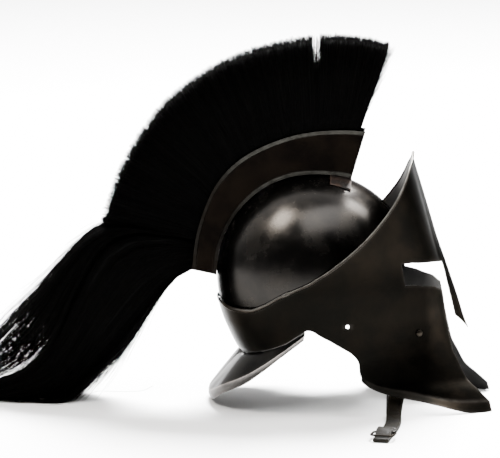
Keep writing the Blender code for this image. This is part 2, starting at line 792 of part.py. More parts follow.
def build_plume_tail(material):
    """Loose tail in locks: every other point of a section stands out, and the locks end in points."""
    locks = 11
    count = 2 * locks
    rings = []
    stations = np.concatenate([np.linspace(0, 0.9, 15), [0.95, 1.0]])
    for place, along in enumerate(stations):
        upper = tail_edge("upper", along)
        lower = tail_edge("lower", along)
        half = float(smooth_value(HAIR_TAIL, TAIL_COLUMNS, "half_width", along)) * MM
        middle = 0.5 * (upper + lower)
        tall = 0.5 * (upper - lower)
        ribs = min(1.0, along / 0.12) * 0.17
        turns = np.arange(count) * 2 * math.pi / count + 0.5 * math.pi
        scale = 1.0 - ribs * (np.arange(count) % 2)
        squash = np.abs(np.cos(turns)) ** 0.8 * np.sign(np.cos(turns))
        x = middle[0] + tall[0] * np.sin(turns) * scale
        z = middle[1] + tall[1] * np.sin(turns) * scale
        y = half * squash * scale
        rings.append(np.stack([x, y, np.maximum(z, 0.0)], axis=-1))
    points, faces = lofted(np.array(rings), False)
    return add_object("plume_tail", points, faces, material)


def resampled(path, count):
    """Even steps along a smooth curve through the points of a path."""
    path = np.asarray(path, dtype=float)
    lengths = np.concatenate([[0.0], np.cumsum(np.linalg.norm(np.diff(path, axis=0), axis=1))])
    names = ("at", "x", "y", "z")
    table = [(at, *point) for at, point in zip(lengths, path)]
    spots = np.linspace(0, lengths[-1], count)
    return np.stack([smooth_value(table, names, axis, spots) for axis in "xyz"], axis=-1)


def ribbon(path, width, thickness, across):
    """Strap of even width along a path, whose flat side is held square to a fixed direction."""
    rings = []
    total = len(path)
    for place in range(total):
        along = path[min(place + 1, total - 1)] - path[max(place - 1, 0)]
        along = along / np.linalg.norm(along)
        side = across[place] - along * float(across[place] @ along)
        side = side / np.linalg.norm(side)
        up = np.cross(side, along)
        corners = ((-0.5, -0.5), (-0.5, 0.5), (0.5, 0.5), (0.5, -0.5))
        rings.append([path[place] + side * width * wide + up * thickness * thick for wide, thick in corners])
    rings = np.array(rings)
    swapped = rings[:, [0, 3, 2, 1]]
    return plain_loft(swapped)


def rivet_place(side, depth, height=rivet_height):
    """Point at the rivet's angle, at a depth inside the cheek's outer face, and the outward direction."""
    angle = column_angles(np.array([rivet_angle]), np.array([rivet_height]))
    spot = shell_point(angle, np.array([height]))[0]
    away = outward(angle, np.array([height]))[0]
    spot = spot - away * depth
    if side < 0:
        return mirrored(spot), mirrored(away)
    return spot, away


def hanging_top(side):
    """The strap's first stretch, flat against the inside of the cheek over its rivet."""
    return np.array([rivet_place(side, strap_depth, high)[0] for high in (103 * MM, 94 * MM, 84 * MM)])


def strap_line(table):
    """Middle line of a strap half, whose sideways places follow the helmet's width."""
    points = np.array(table) * MM
    points[:, 1] *= half_width / strap_drawn_for
    return points


def strap_sides(path, side):
    """Sideways direction of a strap: along the cheek at the rivet, along X below, turned at the buckle."""
    away = rivet_place(side, 0.0)[1]
    level = np.array([abs(away[1]), side * -abs(away[0]), 0.0])
    share = np.clip((path[:, 2] - 30 * MM) / (60 * MM), 0, 1)[:, None]
    turn = np.clip((-120 * MM - path[:, 1]) / (78 * MM), 0, 1) * buckle_turn
    lying = np.stack([np.cos(turn), -np.sin(turn), 0 * turn], axis=-1)
    mixed = share * level + (1 - share) * lying
    return mixed / np.linalg.norm(mixed, axis=1, keepdims=True)


def buckle_frame(points):
    """Place points given along the strap, across it and up into the helmet's own frame."""
    points = np.asarray(points, dtype=float) * MM
    run = np.array([-math.sin(buckle_turn), -math.cos(buckle_turn), 0.0])
    side = np.array([math.cos(buckle_turn), -math.sin(buckle_turn), 0.0])
    start = strap_line([(*buckle_at, 0.0)])[0]
    return start + points[:, :1] * run + points[:, 1:2] * side + points[:, 2:] * np.array([0.0, 0.0, 1.0])


def build_near_strap(material):
    path = resampled(np.concatenate([hanging_top(-1), strap_line(NEAR_STRAP)]), 24)
    hook = buckle_frame([(-6.0, 0.0, 6.9), (-1.6, 0.0, 8.7), (1.2, 0.0, 8.4), (2.5, 0.0, 6.2), (1.3, 0.0, 3.9), (-1.4, 0.0, 3.6)])
    path = np.concatenate([path[:-1], hook])
    points, faces = ribbon(path, strap_width, strap_thickness, strap_sides(path, -1))
    return add_object("chin_strap_near", points, faces, material)


def build_far_strap(material):
    path = resampled(np.concatenate([hanging_top(1), strap_line(FAR_STRAP)]), 28)
    fold = buckle_frame([(14.0, 0.0, 1.0), (23.0, 0.0, 1.0), (26.4, 0.0, 1.4), (27.9, 0.0, 2.8), (26.4, 0.0, 4.2),
                         (22.5, 0.0, 4.3), (18.0, 0.0, 4.4), (12.0, 0.0, 7.4), (5.0, 0.0, 10.7), (-2.0, 0.0, 11.2),
                         (-10.0, 0.0, 8.9), (-19.0, 0.0, 7.0)])
    path = np.concatenate([path, fold])
    points, faces = ribbon(path, strap_width, strap_thickness, strap_sides(path, 1))
    return add_object("chin_strap_far", points, faces, material)


def build_buckle(material):
    half = 0.5 * strap_width / MM + 4.2
    near = 0.0
    corners = [(near, -half + 1.5, 6.2), (near + 2.0, -half, 6.3), (19.0, -half, 7.0), (21.5, -half + 2.0, 7.1),
               (21.5, half - 2.0, 7.1), (19.0, half, 7.0), (near + 2.0, half, 6.3), (near, half - 1.5, 6.2)]
    path = buckle_frame(corners)
    points, faces = loop_tube(path, buckle_wire, 6, True)
    return add_object("strap_buckle", points, faces, material)


def build_rivet(name, material, side):
    """Rivet with a domed head outside the cheek, a shank through plate and strap and a flat inner head."""
    spot, away = rivet_place(side, 0.0)
    across = np.cross(away, (0.0, 0.0, 1.0))
    up = np.array([0.0, 0.0, 1.0])
    stack = -(strap_depth + 0.5 * strap_thickness) / MM
    profile = ((2.7, 1.4), (2.2, 3.2), (1.0, 4.2), (1.0, rivet_shank / MM), (stack - 0.6, rivet_shank / MM),
               (stack - 0.6, 3.8), (stack - 1.7, 3.2))
    rings = [ring_around(spot + away * out * MM, across, up, radius * MM, 8) for out, radius in profile]
    points, faces = lofted(np.array(rings), False)
    return add_object(name, points, faces, material)


def drill(body, spot, away, radius, deep):
    """Cut a round hole through a body along a direction, and drop the cutter."""
    across = np.cross(away, (0.0, 0.0, 1.0))
    across = across / np.linalg.norm(across)
    up = np.cross(across, away)
    rings = [ring_around(spot + away * end * deep, across, up, radius, 8) for end in (-1, 1)]
    points, faces = lofted(np.array(rings), False)
    cutter = add_object("cutter", points, faces, body.data.materials[0])
    cut = body.modifiers.new("hole", "BOOLEAN")
    cut.operation = "DIFFERENCE"
    cut.solver = "EXACT"
    cut.object = cutter
    graph = bpy.context.evaluated_depsgraph_get()
    done = bpy.data.meshes.new_from_object(body.evaluated_get(graph))
    body.modifiers.clear()
    body.data = done
    bpy.data.objects.remove(cutter, do_unlink=True)


def side_hole_place(side):
    """The point of the shell with the side hole's forward place and height."""
    x, height = side_hole_at
    angles = np.linspace(95.0, 125.0, 301)
    points = shell_point(angles, np.full(301, height))
    nearest = int(np.argmin(np.abs(points[:, 0] - x)))
    away = outward(angles, np.full(301, height))[nearest]
    if side < 0:
        return mirrored(points[nearest]), mirrored(away)
    return points[nearest], away


def drill_face(face, near_strap, far_strap):
    for side, strap in ((-1, near_strap), (1, far_strap)):
        spot, away = side_hole_place(side)
        drill(face, spot, away, side_hole, 6 * MM)
        spot, away = rivet_place(side, 2 * MM)
        drill(face, spot, away, rivet_hole, 7 * MM)
        drill(strap, spot, away, rivet_hole, 7 * MM)


def build_helmet():
    black_steel = make_material("blackened_steel", (0.020, 0.018, 0.016), 0.9, 0.34)
    face_steel = make_material("face_steel", (0.024, 0.021, 0.018), 0.9, 0.38)
    rim_steel = make_material("worn_rim_steel", (0.10, 0.09, 0.08), 0.9, 0.4)
    guard_steel = make_material("guard_steel", (0.022, 0.019, 0.017), 0.9, 0.36)
    box_steel = make_material("crest_box_steel", (0.018, 0.015, 0.013), 0.7, 0.5)
    saddle_brown = make_material("saddle_brown", (0.060, 0.032, 0.020), 0.5, 0.6)
    brush_hair = make_material("brush_hair", (0.006, 0.006, 0.006), 0.0, 0.6)
    tail_hair = make_material("tail_hair", (0.007, 0.006, 0.006), 0.0, 0.6)
    near_leather = make_material("near_strap_leather", (0.045, 0.036, 0.020), 0.0, 0.6)
    far_leather = make_material("far_strap_leather", (0.042, 0.034, 0.020), 0.0, 0.6)
    buckle_steel = make_material("buckle_steel", (0.03, 0.03, 0.03), 0.9, 0.4)
    near_rivet = make_material("near_rivet_steel", (0.04, 0.036, 0.03), 0.9, 0.4)
    far_rivet = make_material("far_rivet_steel", (0.04, 0.036, 0.03), 0.9, 0.4)
    build_skull_bowl(black_steel)
    face = build_face_plate(face_steel)
    build_brow_rim(rim_steel)
    build_neck_guard(guard_steel)
    build_crest_box(box_steel)
    build_crest_saddle(saddle_brown)
    build_plume_brush(brush_hair)
    build_plume_tail(tail_hair)
    near_strap = build_near_strap(near_leather)
    far_strap = build_far_strap(far_leather)
    drill_face(face, near_strap, far_strap)
    build_buckle(buckle_steel)
    build_rivet("strap_rivet_near", near_rivet, -1)
    build_rivet("strap_rivet_far", far_rivet, 1)


clear_scene()
build_helmet()
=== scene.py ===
import math

import bpy
import numpy as np
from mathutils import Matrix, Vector


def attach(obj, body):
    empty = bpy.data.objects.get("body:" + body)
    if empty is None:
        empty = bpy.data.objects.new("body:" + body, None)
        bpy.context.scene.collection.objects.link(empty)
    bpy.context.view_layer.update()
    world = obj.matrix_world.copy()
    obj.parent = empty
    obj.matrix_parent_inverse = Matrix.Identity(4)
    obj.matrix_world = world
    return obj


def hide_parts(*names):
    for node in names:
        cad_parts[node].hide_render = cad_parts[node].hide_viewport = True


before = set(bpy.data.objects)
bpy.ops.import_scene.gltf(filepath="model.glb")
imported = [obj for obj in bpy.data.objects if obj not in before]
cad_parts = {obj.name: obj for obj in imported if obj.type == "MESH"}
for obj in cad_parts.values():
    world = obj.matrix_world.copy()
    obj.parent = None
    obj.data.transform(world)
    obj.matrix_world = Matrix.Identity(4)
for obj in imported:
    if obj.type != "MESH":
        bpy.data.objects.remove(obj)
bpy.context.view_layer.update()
print("frame loaded:", len(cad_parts), "nodes")

# Shapes are worked out in millimetres round the helmet's own middle, +X front, +Z up
mm = 0.001
helmetMiddle = np.array([127.6, 62.7, 0.0])
upward = np.array([0.0, 0.0, 1.0])
sideways = np.array([0.0, 1.0, 0.0])
mirror = np.array([1.0, -1.0, 1.0])
chance = np.random.default_rng(41)

# The shell that carries brow, cheeks and nape: its plan at each height, and its edges at each
# angle from the nape (0 degrees) to the front ridge (180). Heights are shares of browHeight, and
# cornerAt, eyeAt, cheekAt and nasalAt are places in baseAngles.
shell = {
    "browHeight": 299.0,
    "faceReach": 200.0,
    "halfWidth": 99.0,
    "wall": 1.4,
    "widestAt": -5.0,
    "keelHalf": 14.0,
    "columnSteps": 5,
    "browRows": 26,
    "eyeRows": 8,
    "cheekRows": 38,
    "lipRows": 6,
    "height": [0.0, 0.04, 0.08, 0.13, 0.194, 0.234, 0.301, 0.348, 0.415, 0.495, 0.572, 0.669, 0.756,
               0.876, 1.0],
    "back": [0.3, 0.35, 0.39, 0.43, 0.456, 0.503, 0.553, 0.583, 0.61, 0.62, 0.62, 0.62, 0.62, 0.62, 0.62],
    "front": [1.33, 1.245, 1.155, 1.055, 0.97, 0.92, 0.87, 0.842, 0.811, 0.773, 0.736, 0.689, 0.652,
              0.6, 0.545],
    "width": [0.98, 0.97, 0.96, 0.955, 0.95, 0.955, 0.965, 0.975, 0.99, 1.0, 1.0, 1.0, 1.0, 1.0, 1.0],
    "roundness": [2.0, 1.95, 1.9, 1.75, 1.68, 1.65, 1.62, 1.62, 1.65, 1.7, 1.75, 1.85, 1.92, 2.0, 2.0],
    "keel": [0.0, 0.0, 0.0, 0.0, 1.0, 4.0, 5.0, 5.0, 5.0, 4.5, 4.0, 3.0, 2.5, 2.0, 1.5],
    "angle": [0, 20, 34, 50, 61, 71, 80, 87, 97, 104, 109.5, 111.2, 112.8, 116, 121, 129, 136, 142, 148,
              154, 160, 173, 180],
    "rim": [0.415, 0.403, 0.395, 0.402, 0.43, 0.47, 0.5, 0.523, 0.564, 0.604, 0.64, 0.652, 0.662, 0.684,
            0.72, 0.775, 0.822, 0.858, 0.893, 0.924, 0.951, 0.985, 1.005],
    "eyeTop": [0.345, 0.34, 0.34, 0.35, 0.375, 0.405, 0.44, 0.46, 0.48, 0.5, 0.515, 0.524, 0.53, 0.543,
               0.562, 0.585, 0.597, 0.596, 0.591, 0.588, 0.585, 0.577, 0.575],
    "eyeBottom": [0.275, 0.277, 0.285, 0.3, 0.32, 0.345, 0.38, 0.402, 0.4, 0.392, 0.4, 0.405, 0.412, 0.43,
                  0.455, 0.495, 0.511, 0.507, 0.498, 0.493, 0.475, 0.487, 0.487],
    "bottom": [0.2, 0.215, 0.23, 0.247, 0.265, 0.288, 0.322, 0.345, 0.313, 0.278, 0.244, 0.22, 0.154,
               0.128, 0.106, 0.085, 0.064, 0.05, 0.043, 0.041, 0.039, 0.0, 0.0],
    "edgeHeight": [0.0, 0.042, 0.084, 0.118, 0.164, 0.221, 0.291, 0.361, 0.488, 0.575, 1.0],
    "cheekEdge": [144.5, 145.8, 147.2, 148.3, 150.4, 152.8, 155.7, 157.7, 160.0, 160.0, 160.0],
    "nasalEdge": [168.5, 168.5, 168.5, 168.5, 168.5, 168.5, 168.5, 168.8, 171.0, 173.0, 173.0],
    "nasalCorner": 0.361,
    "nasalTip": 0.302,
    "lipSpread": 8.0,
    "lipAngle": [112.0, 116.5, 121.0, 136.0, 142.0, 148.0, 154.0, 160.0],
    "lipDepth": [3.2, 5.6, 6.6, 7.4, 9.2, 11.6, 12.2, 10.2],
    "lipFrom": 111.0,
    "lipOver": 14.0,
    "lipLeast": 0.35,
    "lipPush": -1.2,
    "pushFrom": 148.0,
    "pushOver": 12.0,
    "cornerSlide": 1.6,
    "slideAngle": 112.0,
    "slideWidth": 8.0,
    "slideBelow": 0.215,
    "slideFade": 0.05,
    "baseAngles": [0, 10, 20, 30, 40, 50, 60, 70, 79, 87, 94, 101, 106, 111.2, 112.8, 116, 120, 125, 130.5,
                   136, 142, 148, 154, 160, 166.5, 173, 176.5, 180],
    "fixedColumn": 100.0,
    "cheekColumn": 160.0,
    "nasalColumn": 173.0,
    "cornerAt": 14,
    "eyeAt": 19,
    "cheekAt": 23,
    "nasalAt": 25,
    "holeForward": 35.0,
    "holeHeight": 107.5,
    "holeRadius": 2.4,
}


def smoothCurve(spots, values, where):
    # Cubic between neighbouring spots, its slope there the harmonic mean of both sides' rises,
    # or level where the values turn, so that the curve keeps every turn and adds none
    spots = np.asarray(spots, float)
    values = np.asarray(values, float)
    steps = np.diff(spots)
    rises = np.diff(values) / steps
    sameWay = rises[:-1] * rises[1:] > 0
    middle = 2 * rises[:-1] * rises[1:] / np.where(sameWay, rises[:-1] + rises[1:], 1.0)
    slopes = np.concatenate([rises[:1], np.where(sameWay, middle, 0.0), rises[-1:]])
    where = np.clip(np.asarray(where, float), spots[0], spots[-1])
    left = np.clip(np.searchsorted(spots, where, side="right") - 1, 0, len(spots) - 2)
    part = (where - spots[left]) / steps[left]
    keep = 2 * part**3 - 3 * part**2 + 1
    lean = (part**3 - 2 * part**2 + part) * steps[left]
    pull = (part**3 - part**2) * steps[left]
    return keep * values[left] + lean * slopes[left] + (1 - keep) * values[left + 1] + pull * slopes[left + 1]


def readCurves(table, spots, names, where):
    # The named lists of a dictionary as smooth curves over its list called spots, read at some places
    return [smoothCurve(table[spots], table[name], where) for name in names]


def smoothStep(low, high, value):
    # 0 below low, 1 above high, and 3t squared minus 2t cubed between them
    t = np.clip((value - low) / (high - low), 0, 1)
    return t * t * (3 - 2 * t)


def evenTurns(count):
    return np.arange(count) * 2 * math.pi / count


def spokes(first, second, count):
    # cos t first + sin t second, for count even turns t round each row's axis
    turns = evenTurns(count)[:, None]
    return np.cos(turns) * first[..., None, :] + np.sin(turns) * second[..., None, :]


def unitRows(vectors):
    return vectors / np.maximum(np.linalg.norm(vectors, axis=-1, keepdims=True), 1e-12)


def finer(values, parts):
    # The same run of values with parts even steps in each of its spans
    values = np.asarray(values, float)
    return np.interp(np.arange((len(values) - 1) * parts + 1) / parts, np.arange(len(values)), values)


def shellPoint(angle, height):
    # Level ellipse at each height, an ordinary one at the back and one of power p at the front:
    # x = middle + reach |cos a|^(2/p), y = width |sin a|^(2/p), and the front is pulled out along a keel
    share = height / shell["browHeight"]
    names = ("back", "front", "width", "roundness", "keel")
    back, front, width, roundness, keel = readCurves(shell, "height", names, share)
    turn = np.radians(angle)
    ahead = np.cos(turn) < 0
    power = np.where(ahead, roundness, 2.0)
    reach = np.where(ahead, front * shell["faceReach"] - shell["widestAt"],
                     -(back * shell["faceReach"] + shell["widestAt"]))
    x = shell["widestAt"] + reach * np.abs(np.cos(turn)) ** (2 / power)
    y = width * shell["halfWidth"] * np.sin(turn).clip(0, 1) ** (2 / power)
    x = x + np.where(ahead, keel * np.clip(1 - y / shell["keelHalf"], 0, 1), 0.0)
    return np.stack([x, y, height + 0 * x], axis=-1)


def shellEdge(name, angle):
    return smoothCurve(shell["angle"], shell[name], angle) * shell["browHeight"]


def shellAngles(base, height):
    # Columns slide so that the cheek column runs along the cheek's front edge and the nasal column along
    # the nasal's, and the rear corner of the cheek's lip lies a little behind the arch above it
    share = height / shell["browHeight"]
    fixed, cheekColumn, nasalColumn = shell["fixedColumn"], shell["cheekColumn"], shell["nasalColumn"]
    cheek, nasal = readCurves(shell, "edgeHeight", ("cheekEdge", "nasalEdge"), share)
    angle = np.where(base > fixed, fixed + (base - fixed) * (cheek - fixed) / (cheekColumn - fixed), base)
    slide = shell["cornerSlide"] * np.exp(-((base - shell["slideAngle"]) / shell["slideWidth"]) ** 2)
    angle = angle - slide * np.clip((shell["slideBelow"] - share) / shell["slideFade"], 0, 1)
    toNasal = cheek + (base - cheekColumn) * (nasal - cheek) / (nasalColumn - cheekColumn)
    toRidge = nasal + (base - nasalColumn) * (180.0 - nasal) / (180.0 - nasalColumn)
    return np.where(base > nasalColumn, toRidge, np.where(base > cheekColumn, toNasal, angle))


def shellOutward(angle, height):
    # Level direction square to the shell, from the chord over one degree
    along = shellPoint(angle + 0.5, height) - shellPoint(angle - 0.5, height)
    return unitRows(np.stack([-along[..., 1], along[..., 0], 0 * along[..., 0]], axis=-1))


def fullRound(half):
    # A half grid and its mirror image, which share the nape's and the ridge's columns
    half = half.copy()
    half[:, [0, -1], 1] = 0.0
    return np.concatenate([half, (half * mirror)[:, -2:0:-1]], axis=1)


def gridQuads(rows, columns, roundColumns=False, roundRows=False, keep=None):
    # Each cell of the grid as four corner numbers
    index = np.arange(rows * columns).reshape(rows, columns)
    after = np.roll(index, -1, axis=1)
    quads = np.stack([index, after, np.roll(after, -1, axis=0), np.roll(index, -1, axis=0)], axis=-1)
    quads = quads if roundRows else quads[:-1]
    quads = quads if roundColumns else quads[:, :-1]
    return quads[keep] if keep is not None else quads.reshape(-1, 4)


def onlyUsed(points, quads):
    used, place = np.unique(quads, return_inverse=True)
    return points[used], place.reshape(quads.shape)


def faceDirections(points, quads):
    # Cross product of each quad's diagonals: square to it, and twice its area long
    corners = points[quads]
    return np.cross(corners[:, 2] - corners[:, 0], corners[:, 3] - corners[:, 1])


def facing(points, quads, middle):
    # 1 where the quads on the whole point away from the middle, and minus 1 where they point towards it
    return np.sign(np.sum(faceDirections(points, quads) * (points[quads].mean(axis=1) - middle)))


def pointNormals(points, quads):
    # Mean of the faces' own directions round each point, weighted by their areas
    flat = faceDirections(points, quads)
    total = np.zeros_like(points)
    for corner in range(4):
        np.add.at(total, quads[:, corner], flat)
    return unitRows(total)


def signedVolume(points, faces):
    corners = points[faces]
    volume = 0.0
    for corner in range(1, faces.shape[1] - 1):
        volume += np.einsum("ij,ij->", corners[:, 0], np.cross(corners[:, corner], corners[:, corner + 1]))
    return volume


def outwards(points, parts):
    # The parts of one body's surface, all turned round where the first one points inwards
    return [faces[:, ::-1] for faces in parts] if signedVolume(points, parts[0]) < 0 else parts


def pointCaps(rows, columns):
    # Triangles from a grid's first and last row to the two points that follow the grid's own
    place = np.arange(columns)
    after = (place + 1) % columns
    last = (rows - 1) * columns
    tip = 0 * place + rows * columns
    first = np.stack([tip, after, place], axis=1)
    return np.concatenate([first, np.stack([tip + 1, last + place, last + after], axis=1)])


def borderEdges(quads):
    # Sides that belong to one face only, in that face's own direction
    sides = np.concatenate([quads[:, [corner, (corner + 1) % 4]] for corner in range(4)])
    where, counts = np.unique(np.sort(sides, axis=1), axis=0, return_index=True, return_counts=True)[1:]
    return sides[where[counts == 1]]


def thickened(points, quads, wall):
    # The sheet, the same sheet moved inward by the wall along its normals, and strips along its borders
    points, quads = onlyUsed(points, quads)
    count = len(points)
    inner = points - wall * pointNormals(points, quads)
    border = borderEdges(quads)
    strips = np.stack([border[:, 1], border[:, 0], border[:, 0] + count, border[:, 1] + count], axis=1)
    return np.concatenate([points, inner]), np.concatenate([quads, quads[:, ::-1] + count, strips]), border


def nearBorder(points, border, reach):
    return nearLine(points, points[np.unique(border)], reach)


def nearLine(points, line, reach):
    # 1 on the line's points, falling off as the exponential of minus the distance over reach
    gap = (points**2).sum(1)[:, None] + (line**2).sum(1)[None] - 2 * points @ line.T
    return np.exp(-np.sqrt(np.maximum(gap.min(axis=1), 0)) / reach)


def addMesh(name, points, polygons, material, values=None):
    # polygons is a list of arrays of corner numbers, one array for each number of corners
    placed = (np.asarray(points, float) + helmetMiddle) * mm
    mesh = bpy.data.meshes.new(name)
    loops = np.concatenate([faces.ravel() for faces in polygons])
    sizes = np.concatenate([np.full(len(faces), faces.shape[1]) for faces in polygons])
    mesh.vertices.add(len(placed))
    mesh.vertices.foreach_set("co", placed.ravel())
    mesh.loops.add(len(loops))
    mesh.loops.foreach_set("vertex_index", loops.astype(np.int32))
    mesh.polygons.add(len(sizes))
    mesh.polygons.foreach_set("loop_start", (np.cumsum(sizes) - sizes).astype(np.int32))
    mesh.polygons.foreach_set("use_smooth", np.full(len(sizes), True))
    mesh.update(calc_edges=True)
    for label, data in (values or {}).items():
        layer = mesh.attributes.new(label, "FLOAT", "POINT")
        layer.data.foreach_set("value", np.asarray(data, np.float32))
    mesh.materials.append(material)
    piece = bpy.data.objects.new(name, mesh)
    bpy.context.scene.collection.objects.link(piece)
    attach(piece, "root")
    return piece


def roundedEdges(piece, width, angle):
    bevel = piece.modifiers.new("rounded edges", "BEVEL")
    bevel.width = width * mm
    bevel.segments = 2
    bevel.limit_method = "ANGLE"
    bevel.angle_limit = math.radians(angle)
    bevel.harden_normals = True


# Materials: groups that more than one finish uses

def newGroup(name, inputs, outputs):
    group = bpy.data.node_groups.new(name, "ShaderNodeTree")
    for label, kind, value in inputs:
        socket = group.interface.new_socket(label, in_out="INPUT", socket_type=kind)
        socket.default_value = value
    for label, kind in outputs:
        group.interface.new_socket(label, in_out="OUTPUT", socket_type=kind)
    return group, group.nodes.new("NodeGroupInput"), group.nodes.new("NodeGroupOutput")


def addNode(tree, kind, **settings):
    node = tree.nodes.new(kind)
    for label, value in settings.items():
        node.inputs[label].default_value = value
    return node


def noiseAt(tree, place, scale, detail, roughness):
    noise = addNode(tree, "ShaderNodeTexNoise", Scale=scale, Detail=detail, Roughness=roughness)
    tree.links.new(place, noise.inputs["Vector"])
    return noise.outputs["Fac"]


def mathNode(tree, operation, first, second, clamp=False):
    node = tree.nodes.new("ShaderNodeMath")
    node.operation = operation
    node.use_clamp = clamp
    for socket, value in zip(node.inputs, (first, second)):
        if isinstance(value, (int, float)):
            socket.default_value = value
        else:
            tree.links.new(value, socket)
    return node.outputs[0]


def mapRange(tree, value, low, high, toLow=0.0, toHigh=1.0):
    node = tree.nodes.new("ShaderNodeMapRange")
    node.interpolation_type = "SMOOTHSTEP"
    for label, number in (("From Min", low), ("From Max", high), ("To Min", toLow), ("To Max", toHigh)):
        node.inputs[label].default_value = number
    tree.links.new(value, node.inputs["Value"])
    return node.outputs["Result"]


def mixColors(tree, factor, first, second):
    node = tree.nodes.new("ShaderNodeMix")
    node.data_type = "RGBA"
    tree.links.new(factor, node.inputs["Factor"])
    for place, value in ((6, first), (7, second)):
        if isinstance(value, tuple):
            node.inputs[place].default_value = (*value, 1.0)
        else:
            tree.links.new(value, node.inputs[place])
    return node.outputs[2]


def makeMottleGroup():
    # Two sizes of cloudy patches: factor from broad noise, and fine speckle laid over it
    group, source, result = newGroup("mottle", [
        ("dark", "NodeSocketColor", (0.02, 0.02, 0.02, 1)),
        ("light", "NodeSocketColor", (0.04, 0.035, 0.03, 1)),
        ("patch scale", "NodeSocketFloat", 22.0),
        ("speckle", "NodeSocketFloat", 0.25),
    ], [("colour", "NodeSocketColor"), ("patches", "NodeSocketFloat")])
    place = addNode(group, "ShaderNodeTexCoord").outputs["Object"]
    broad = addNode(group, "ShaderNodeTexNoise", Detail=4.0, Roughness=0.6)
    group.links.new(place, broad.inputs["Vector"])
    group.links.new(source.outputs["patch scale"], broad.inputs["Scale"])
    patches = mapRange(group, broad.outputs["Fac"], low=0.36, high=0.66)
    fine = noiseAt(group, place, scale=420.0, detail=4.0, roughness=0.65)
    speckles = mapRange(group, fine, low=0.4, high=0.7)
    mixed = mathNode(group, "MULTIPLY_ADD", speckles, source.outputs["speckle"])
    group.links.new(patches, mixed.node.inputs[2])
    factor = mathNode(group, "MULTIPLY", mixed, 0.8, clamp=True)
    colour = mixColors(group, factor, source.outputs["dark"], source.outputs["light"])
    group.links.new(colour, result.inputs["colour"])
    group.links.new(patches, result.inputs["patches"])
    return group


def makeWearAndSheenGroup():
    # The edge value, broken up by noise, mixes the bare metal's colour in: real wear, and on the rim, the
    # face plate's crease and ridge and the neck guard's crease also a painted highlight line
    group, source, result = newGroup("edge wear and sheen", [
        ("colour", "NodeSocketColor", (0.02, 0.02, 0.02, 1)),
        ("bare", "NodeSocketColor", (0.2, 0.18, 0.16, 1)),
        ("edge", "NodeSocketFloat", 0.0),
        ("amount", "NodeSocketFloat", 0.6),
    ], [("colour", "NodeSocketColor")])
    place = addNode(group, "ShaderNodeTexCoord").outputs["Object"]
    noise = noiseAt(group, place, scale=90.0, detail=5.0, roughness=0.6)
    broken = mapRange(group, noise, low=0.3, high=0.62, toLow=0.35)
    worn = mathNode(group, "MULTIPLY", source.outputs["edge"], broken)
    wear = mathNode(group, "MULTIPLY", worn, source.outputs["amount"], clamp=True)
    colour = mixColors(group, wear, source.outputs["colour"], source.outputs["bare"])
    group.links.new(colour, result.inputs["colour"])
    return group


def makeSidesGroup():
    # The outside colour darkened by the painted shade value, then the plain inside colour by the inside value
    sootColor = (0.0006, 0.00058, 0.0005)
    group, source, result = newGroup("sheet sides", [
        ("colour", "NodeSocketColor", (0.02, 0.02, 0.02, 1)),
        ("inside colour", "NodeSocketColor", (0.2, 0.19, 0.18, 1)),
        ("inside", "NodeSocketFloat", 0.0),
        ("soot", "NodeSocketFloat", 0.0),
    ], [("colour", "NodeSocketColor")])
    dark = mixColors(group, source.outputs["soot"], source.outputs["colour"], sootColor)
    colour = mixColors(group, source.outputs["inside"], dark, source.outputs["inside colour"])
    group.links.new(colour, result.inputs["colour"])
    return group


def makeHammerGroup():
    # Height in shares: broad unevenness of hand-raised sheet, brushed scratches and small pits
    group, source, result = newGroup("beaten sheet", [
        ("wave scale", "NodeSocketFloat", 16.0),
        ("waves", "NodeSocketFloat", 1.0),
        ("pits", "NodeSocketFloat", 0.1),
    ], [("height", "NodeSocketFloat"), ("scratch", "NodeSocketFloat")])
    place = addNode(group, "ShaderNodeTexCoord").outputs["Object"]
    broad = addNode(group, "ShaderNodeTexNoise", Detail=1.5, Roughness=0.4)
    group.links.new(place, broad.inputs["Vector"])
    group.links.new(source.outputs["wave scale"], broad.inputs["Scale"])
    stretch = addNode(group, "ShaderNodeMapping", Scale=(3.0, 3.0, 26.0), Rotation=(0.15, 0.5, 0.1))
    group.links.new(place, stretch.inputs["Vector"])
    scratch = noiseAt(group, stretch.outputs["Vector"], scale=60.0, detail=6.0, roughness=0.7)
    pits = noiseAt(group, place, scale=700.0, detail=2.0, roughness=0.5)
    pits = mapRange(group, pits, low=0.28, high=0.42)
    tall = mathNode(group, "MULTIPLY", broad.outputs["Fac"], source.outputs["waves"])
    tall = mathNode(group, "ADD", tall, mathNode(group, "MULTIPLY", pits, source.outputs["pits"]))
    group.links.new(tall, result.inputs["height"])
    group.links.new(scratch, result.inputs["scratch"])
    return group


def makeHairGroup():
    # Each strand's own tone, partly a painted sheen, darker at the root and lighter towards the tip as
    # painted back light
    group, source, result = newGroup("hair tone", [
        ("dark", "NodeSocketColor", (0.004, 0.004, 0.004, 1)),
        ("light", "NodeSocketColor", (0.02, 0.018, 0.016, 1)),
        ("tone", "NodeSocketFloat", 0.5),
        ("along", "NodeSocketFloat", 0.5),
    ], [("colour", "NodeSocketColor")])
    lift = mapRange(group, source.outputs["along"], low=0.2, high=1.0, toLow=0.35)
    factor = mathNode(group, "MULTIPLY", source.outputs["tone"], lift, clamp=True)
    colour = mixColors(group, factor, source.outputs["dark"], source.outputs["light"])
    group.links.new(colour, result.inputs["colour"])
    return group


groups = {
    "mottle": makeMottleGroup(),
    "wear": makeWearAndSheenGroup(),
    "sides": makeSidesGroup(),
    "hammer": makeHammerGroup(),
    "hair": makeHairGroup(),
}


def newMaterial(name, metallic, specular):
    material = bpy.data.materials.new(name)
    material.use_nodes = True
    shader = material.node_tree.nodes["Principled BSDF"]
    shader.inputs["Metallic"].default_value = metallic
    shader.inputs["Specular IOR Level"].default_value = specular
    return material, material.node_tree, shader


